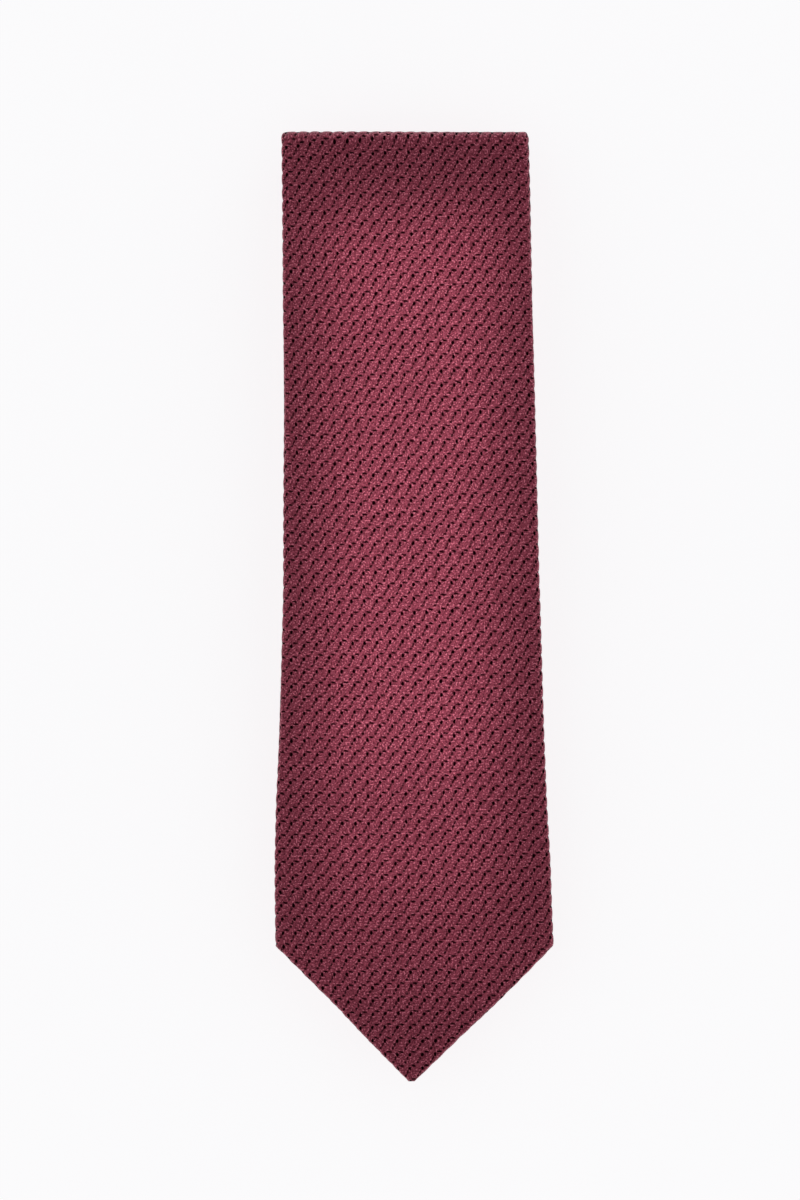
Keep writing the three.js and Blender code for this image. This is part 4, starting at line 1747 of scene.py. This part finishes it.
@dataclass
class Label:
    """A blank label sewn down at its two ends, which are turned under."""

    form: TieForm
    slot: Slot
    start: float
    end: float
    half_length: float
    thickness: float = 0.3
    lowest: float = -1.40
    turned_end: float = 3.2
    turned_height: float = 0.16
    turned_blend: float = 0.4
    edge_round: float = 0.3
    lift: float = 0.10
    lift_across: float = 4.7
    lift_along: float = 9.0
    lift_side: float = 5.0
    lift_ends: tuple[float, float] = (1.0, 5.0)
    along_spaces: int = 28
    across_spaces: int = 60

    def build(self, material: bpy.types.Material) -> bpy.types.Object:
        """Makes the label: its ends stand a little prouder, and its free edges lift in a slow wave.

        Args:
            material: the label's finish.

        Returns:
            The finished label.
        """
        place, half_length = self.form.place, self.half_length
        along, across = back_grid(self.start, self.end, half_length, self.along_spaces, self.across_spaces)
        to_end = half_length - np.abs(across)
        to_side = np.minimum(along - self.start, self.end - along)
        full = rounded(np.minimum(to_end, to_side) / self.edge_round)
        turned = 1.0 - eased(to_end, self.turned_end, self.turned_end + self.turned_blend)
        thick = self.thickness + self.turned_height * turned
        wave = self.lift * (1.0 + np.sin(across / self.lift_across + along / self.lift_along))
        wave = wave * (1.0 - eased(to_side, 0.0, self.lift_side)) * eased(to_end, *self.lift_ends)
        middle = self.lowest - thick / 2.0 - wave
        outside = place(along, across, middle - full * thick / 2.0)
        inside = place(along, across, middle + full * thick / 2.0)[::2, ::2]
        cloth = np.stack([across, along - (self.start + self.end) / 2.0], axis=-1)
        name = self.slot.value
        piece = closed_cloth(f"{name}_cloth", outside, inside, cloth)
        flat = ((self.end - self.start) * MM, 2.0 * half_length * MM)
        attach(piece, material, self.form, ("blade",), (name,))
        return piece


@dataclass
class PiecingSeam:
    """The row of small stitches along a bias seam between two cuts of the silk."""

    sewing: Sewing
    cut: SilkCut
    node: str
    body: str
    place: float
    slant: float
    pitch: float = 2.2
    swing: float = 0.16
    depth: float = 0.25
    thread: float = 0.14
    points: int = 700
    lane_reach: float = 2.3

    def build(self) -> bpy.types.Object:
        """Makes the thread in the seam's groove, all the way round from flap to flap.

        Its place along follows the seam's slant, found in a few rounds because the width changes along
        the tie. Its height waves with the distance round the cloth.

        Returns:
            The finished thread.
        """
        lane = np.linspace(-self.lane_reach, self.lane_reach, self.points)
        along = np.full(self.points, self.place)
        for _ in range(3):
            part = self.cut.section(along, lane, self.depth)
            along = self.place + self.slant * part["across"]
        wave = self.swing * np.sin(2.0 * math.pi * part["around"] / self.pitch)
        across = part["across"] + wave * part["out_across"]
        height = part["height"] + wave * part["out_height"]
        name, route = f"{self.node}_thread", (along, across, height)
        return self.sewing.thread(name, route, self.thread, self.body, (self.node,), steady=(0.0, 1.0, 0.0))


# ---------------------------------------------------------------------------------------------------------
# The whole tie
# ---------------------------------------------------------------------------------------------------------


@dataclass
class Necktie:
    """The folded tie and its finishes."""

    form: TieForm
    neck_seam_from_knot: float = 113.0
    tail_seam_from_band: float = 106.0
    seam_slant: float = -1.0
    neck_weave_shift: float = 1.7
    tail_weave_shift: float = 2.6
    stitch_margin: float = 3.5
    bar_height: float = -1.32
    loop_tack_height: float = -1.98

    def __post_init__(self) -> None:
        """Makes the finishes that several pieces share."""
        self.silk = SilkFinish().make()
        self.sewing = Sewing(self.form, ThreadFinish().make())
        self.wool = WoolFinish().make()
        self.satin = SatinFinish().make()

    def build(self) -> None:
        """Builds every piece, from the silk inwards and then what is sewn to the back."""
        self.build_silk()
        self.build_insides()
        self.build_tip_backs()
        self.build_trims()

    def build_silk(self) -> None:
        """Builds the eight cuts of silk and the two seams that join blade, neck and tail."""
        form, slant = self.form, self.seam_slant
        start = {run.name: run.start for run in form.runs}
        end = {run.name: run.end for run in form.runs}
        neck_seam = start["knot"] + self.neck_seam_from_knot
        tail_seam = start["tail_band"] + self.tail_seam_from_band
        neck = {"origin": neck_seam + self.neck_weave_shift}
        tail = {"origin": tail_seam + self.tail_weave_shift}
        wide = {"row_space": 0.72, "front_spaces": 112, "flap_spaces": 34, "fold_spaces": 16, "sink": 0.08}
        stretches = (
            ("blade", "blade", start["blade"], end["blade"], wide),
            ("taper", "taper", start["taper"], end["taper"], {"front_spaces": 72, "flap_spaces": 34}),
            ("knot_blade", "knot", start["knot"], neck_seam, {"slant_end": slant, "front_spaces": 56}),
            ("knot_neck", "knot", neck_seam, end["knot"],
             {"slant_start": slant, "front_spaces": 52, **neck}),
            ("collar", "collar", start["collar"], end["collar"], {"front_spaces": 48, **neck}),
            ("tail_band_neck", "tail_band", start["tail_band"], tail_seam,
             {"slant_end": slant, "front_spaces": 48, **neck}),
            ("tail_band_tail", "tail_band", tail_seam, end["tail_band"],
             {"slant_start": slant, "front_spaces": 52, **tail}),
            ("tail", "tail", start["tail"], form.length, {"front_spaces": 60, "sink": 0.24, **tail}),
        )
        cuts = []
        for name, run_name, first, last, sizes in stretches:
            bodies, nodes = form.cloth(form.run(run_name), "shell", name, folded=last == end[run_name])
            cuts.append(SilkCut(form, name, bodies, nodes, first, last, **sizes))
        for cut in cuts:
            cut.build(self.silk)
        by_name = {cut.name: cut for cut in cuts}
        seams = (
            ("blade_neck_seam", by_name["knot_blade"], "knot", neck_seam),
            ("neck_tail_seam", by_name["tail_band_neck"], "tail_band", tail_seam),
        )
        for node, cut, body, place in seams:
            PiecingSeam(self.sewing, cut, node, body, place, slant).build()

    def build_insides(self) -> None:
        """Builds the wool and the slip stitch of each run."""
        form, margin = self.form, self.stitch_margin
        for run in form.runs:
            is_last = run is form.runs[-1]
            bodies, nodes = form.cloth(run, "interlining", run.name, folded=not is_last)
            Interlining(form, run, bodies, nodes).build(self.wool)
            first = BLADE_OPENING.far if run is form.runs[0] else run.start
            last = form.length - TAIL_OPENING.far if is_last else run.start + run.length
            SlipStitch(self.sewing, run, first + margin, last - margin).build()

    def build_tip_backs(self) -> None:
        """Builds the satin, its felling stitches and the bar tack behind each tip."""
        runs = self.form.runs
        for run, opening, from_end in ((runs[0], BLADE_OPENING, False), (runs[-1], TAIL_OPENING, True)):
            tipping = Tipping(self.form, run, opening, from_end)
            tipping.build(self.satin)
            for word in ("left", "right"):
                tipping.stitch(self.sewing, word)
            node = f"{run.name}_bar_tack"
            low, high = cad_box(node)
            middle = run.start + run.heading * ((low[1] + high[1]) / 2.0 - run.y_start)
            ends = [(middle, side) for side in (low[0], high[0])]
            ThreadBar(self.sewing, run.name, node, *ends, self.bar_height, wraps=20, half_width=0.6).build()

    def _on_blade(self, node: str) -> tuple[float, float, float, float]:
        """Where a node on the blade starts and ends along the tie, and its sides across it.

        Args:
            node: the CAD node.

        Returns:
            Its start, its end, its left side and its right side.
        """
        low, high = cad_box(node)
        first = self.form.runs[0].y_start
        return low[1] - first, high[1] - first, low[0], high[0]

    def build_trims(self) -> None:
        """Builds the keeper loop and the two blank labels on the back of the blade, with their tacks."""
        form, words = self.form, ("left", "right")
        start, end, _, right = self._on_blade("keeper_loop")
        KeeperLoop(form, start, end, right).build(self.silk)
        for node in (f"keeper_loop_{word}_tack" for word in words):
            start, end, left, right = self._on_blade(node)
            across = (left + right) / 2.0
            ThreadBar(self.sewing, "blade", node, (start, across), (end, across), self.loop_tack_height,
                      wraps=16, half_width=0.45, half_height=0.2, thread=0.13).build()
        labels = {
            Slot.WOVEN_LABEL: {
                "ground": (0.030, 0.022, 0.026),
                "ground_deep": (0.014, 0.010, 0.012),
                "frame": (0.26, 0.20, 0.12),
                "frame_width": 0.35,
            },
            Slot.CARE_LABEL: {
                "ground": (0.80, 0.76, 0.69),
                "ground_deep": (0.62, 0.58, 0.51),
                "frame": (0.70, 0.66, 0.58),
                "frame_width": 0.0001,
            },
        }
        for slot, looks in labels.items():
            name = slot.value
            start, end, _, right = self._on_blade(name)
            size = {"half_length": right, "half_width": (end - start) / 2.0}
            Label(form, slot, start, end, right).build(LabelFinish(f"{name}_ribbon", **looks, **size).make())
            for node in (f"{name}_{word}_tack" for word in words):
                start, end, left, right = self._on_blade(node)
                RunningStitch(self.sewing, node, start, end, (left + right) / 2.0).build()


# ---------------------------------------------------------------------------------------------------------
# The studio
# ---------------------------------------------------------------------------------------------------------


@dataclass(frozen=True)
class Lamp:
    """A soft rectangular light that no camera sees, with a grid that narrows its beam straight down."""

    name: str
    place: tuple[float, float, float]
    size: tuple[float, float]
    power: float
    spread_deg: float

    def build(self) -> None:
        """Hangs the light. Unturned, an area light shines downwards."""
        data = bpy.data.lights.new(self.name, "AREA")
        data.shape = "RECTANGLE"
        data.size, data.size_y = self.size
        data.energy = self.power
        data.spread = math.radians(self.spread_deg)
        light = add_object(self.name, data)
        light.location = self.place
        light.visible_camera = False


@dataclass
class Studio:
    """A white table top, a white room, strip lights overhead, and a camera that looks straight down."""

    camera_height: float = 1.2
    camera_x: float = -0.0027
    camera_y: float = 0.0018
    seen_length: float = 0.3446
    sensor: float = 36.0
    clip_start: float = 0.05
    floor_half: float = 6.0
    floor_drop: float = 0.00008
    floor_glow: float = 0.83
    floor_white: float = 0.36
    floor_tints: tuple[tuple, tuple] = ((0.985, 0.98, 0.99), (1.0, 0.995, 1.0))
    room_white: tuple = (0.97, 0.97, 1.0, 1.0)
    room_strength: float = 0.40
    horizon_strength: float = 0.93
    horizon_rise: float = 0.24
    strip_height: float = 0.3
    strip_middle: float = 0.0002
    strip_width: float = 0.052
    strip_top: float = 0.114
    strip_feet: tuple[float, ...] = (-0.045, -0.081, -0.109)
    strip_power: float = 0.0225
    strip_spread_deg: float = 8.0

    def build(self, top: float) -> None:
        """Builds the floor, the room, the lights and the camera.

        Args:
            top: the height of the tie's upper face, in metres.
        """
        self._floor()
        self._room()
        self._strips()
        self._camera(top)

    def _floor(self) -> None:
        """Makes the table top, which glows enough to stay white with only a faint shadow."""
        half, level = self.floor_half, -self.floor_drop
        corners = [(-half, -half, level), (half, -half, level), (half, half, level), (-half, half, level)]
        mesh = bpy.data.meshes.new("table_top")
        mesh.from_pydata(corners, [], [(0, 1, 2, 3)])
        graph = Graph(bpy.data.materials.new("white_table_top"))
        colour = graph.tint(graph.noise(graph.object_place(), 3.0, 2.0), *self.floor_tints)
        glow = graph.node("ShaderNodeEmission", {}, {"Color": colour, "Strength": self.floor_glow})
        white = (self.floor_white, self.floor_white, self.floor_white, 1.0)
        matt = graph.node("ShaderNodeBsdfDiffuse", {}, {"Color": white})
        graph.show(graph.node("ShaderNodeAddShader", {}, {0: glow, 1: matt}))
        mesh.materials.append(graph.owner)
        add_object("table_top", mesh)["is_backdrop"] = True

    def _room(self) -> None:
        """Fills the room with white light, even overhead and brighter towards the horizon.

        The strength goes from the horizon's to the room's by a smooth step of the direction's rise.
        """
        world = bpy.data.worlds.new("studio_room")
        bpy.context.scene.world = world
        graph = Graph(world)
        direction = graph.node("ShaderNodeTexCoord", {}, {}, "Generated")
        rise = graph.along(direction, (0.0, 0.0, 1.0))
        strength = rise.eased(0.0, self.horizon_rise, self.horizon_strength, self.room_strength)
        light = {"Color": self.room_white, "Strength": strength}
        graph.show(graph.node("ShaderNodeBackground", {}, light), "ShaderNodeOutputWorld")

    def _strips(self) -> None:
        """Hangs three gridded strip lights over the tie, each longer than the last towards the tip.

        They end together near the fold, so that their light fades evenly towards the tip. Each one's power
        is its length times the power of a metre.
        """
        for order, foot in enumerate(self.strip_feet):
            length = self.strip_top - foot
            place = (self.strip_middle, (self.strip_top + foot) / 2.0, self.strip_height)
            size = (self.strip_width, length)
            power = self.strip_power * length
            Lamp(f"strip_light_{order + 1}", place, size, power, self.strip_spread_deg).build()

    def _camera(self, top: float) -> None:
        """Adds the camera over the tie, with its long side along the frame's Y.

        Args:
            top: the height at which its view has the seen length.
        """
        data = bpy.data.cameras.new("overhead_camera")
        data.sensor_fit = "VERTICAL"
        data.sensor_height = self.sensor
        data.sensor_width = self.sensor
        data.lens = self.sensor * (self.camera_height - top) / self.seen_length
        data.clip_start = self.clip_start
        camera = add_object("overhead_camera", data)
        camera.location = (self.camera_x, self.camera_y, self.camera_height)
        bpy.context.scene.camera = camera


def main() -> None:
    """Builds the tie in order, then the studio."""
    logging.basicConfig(level=logging.INFO, format="%(name)s: %(message)s")
    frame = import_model()
    cad_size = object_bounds()
    Necktie(TieForm()).build()
    Studio().build(cad_size[1].z)
    bpy.context.scene.view_settings.view_transform = "Standard"


if __name__ == "__main__":
    main()
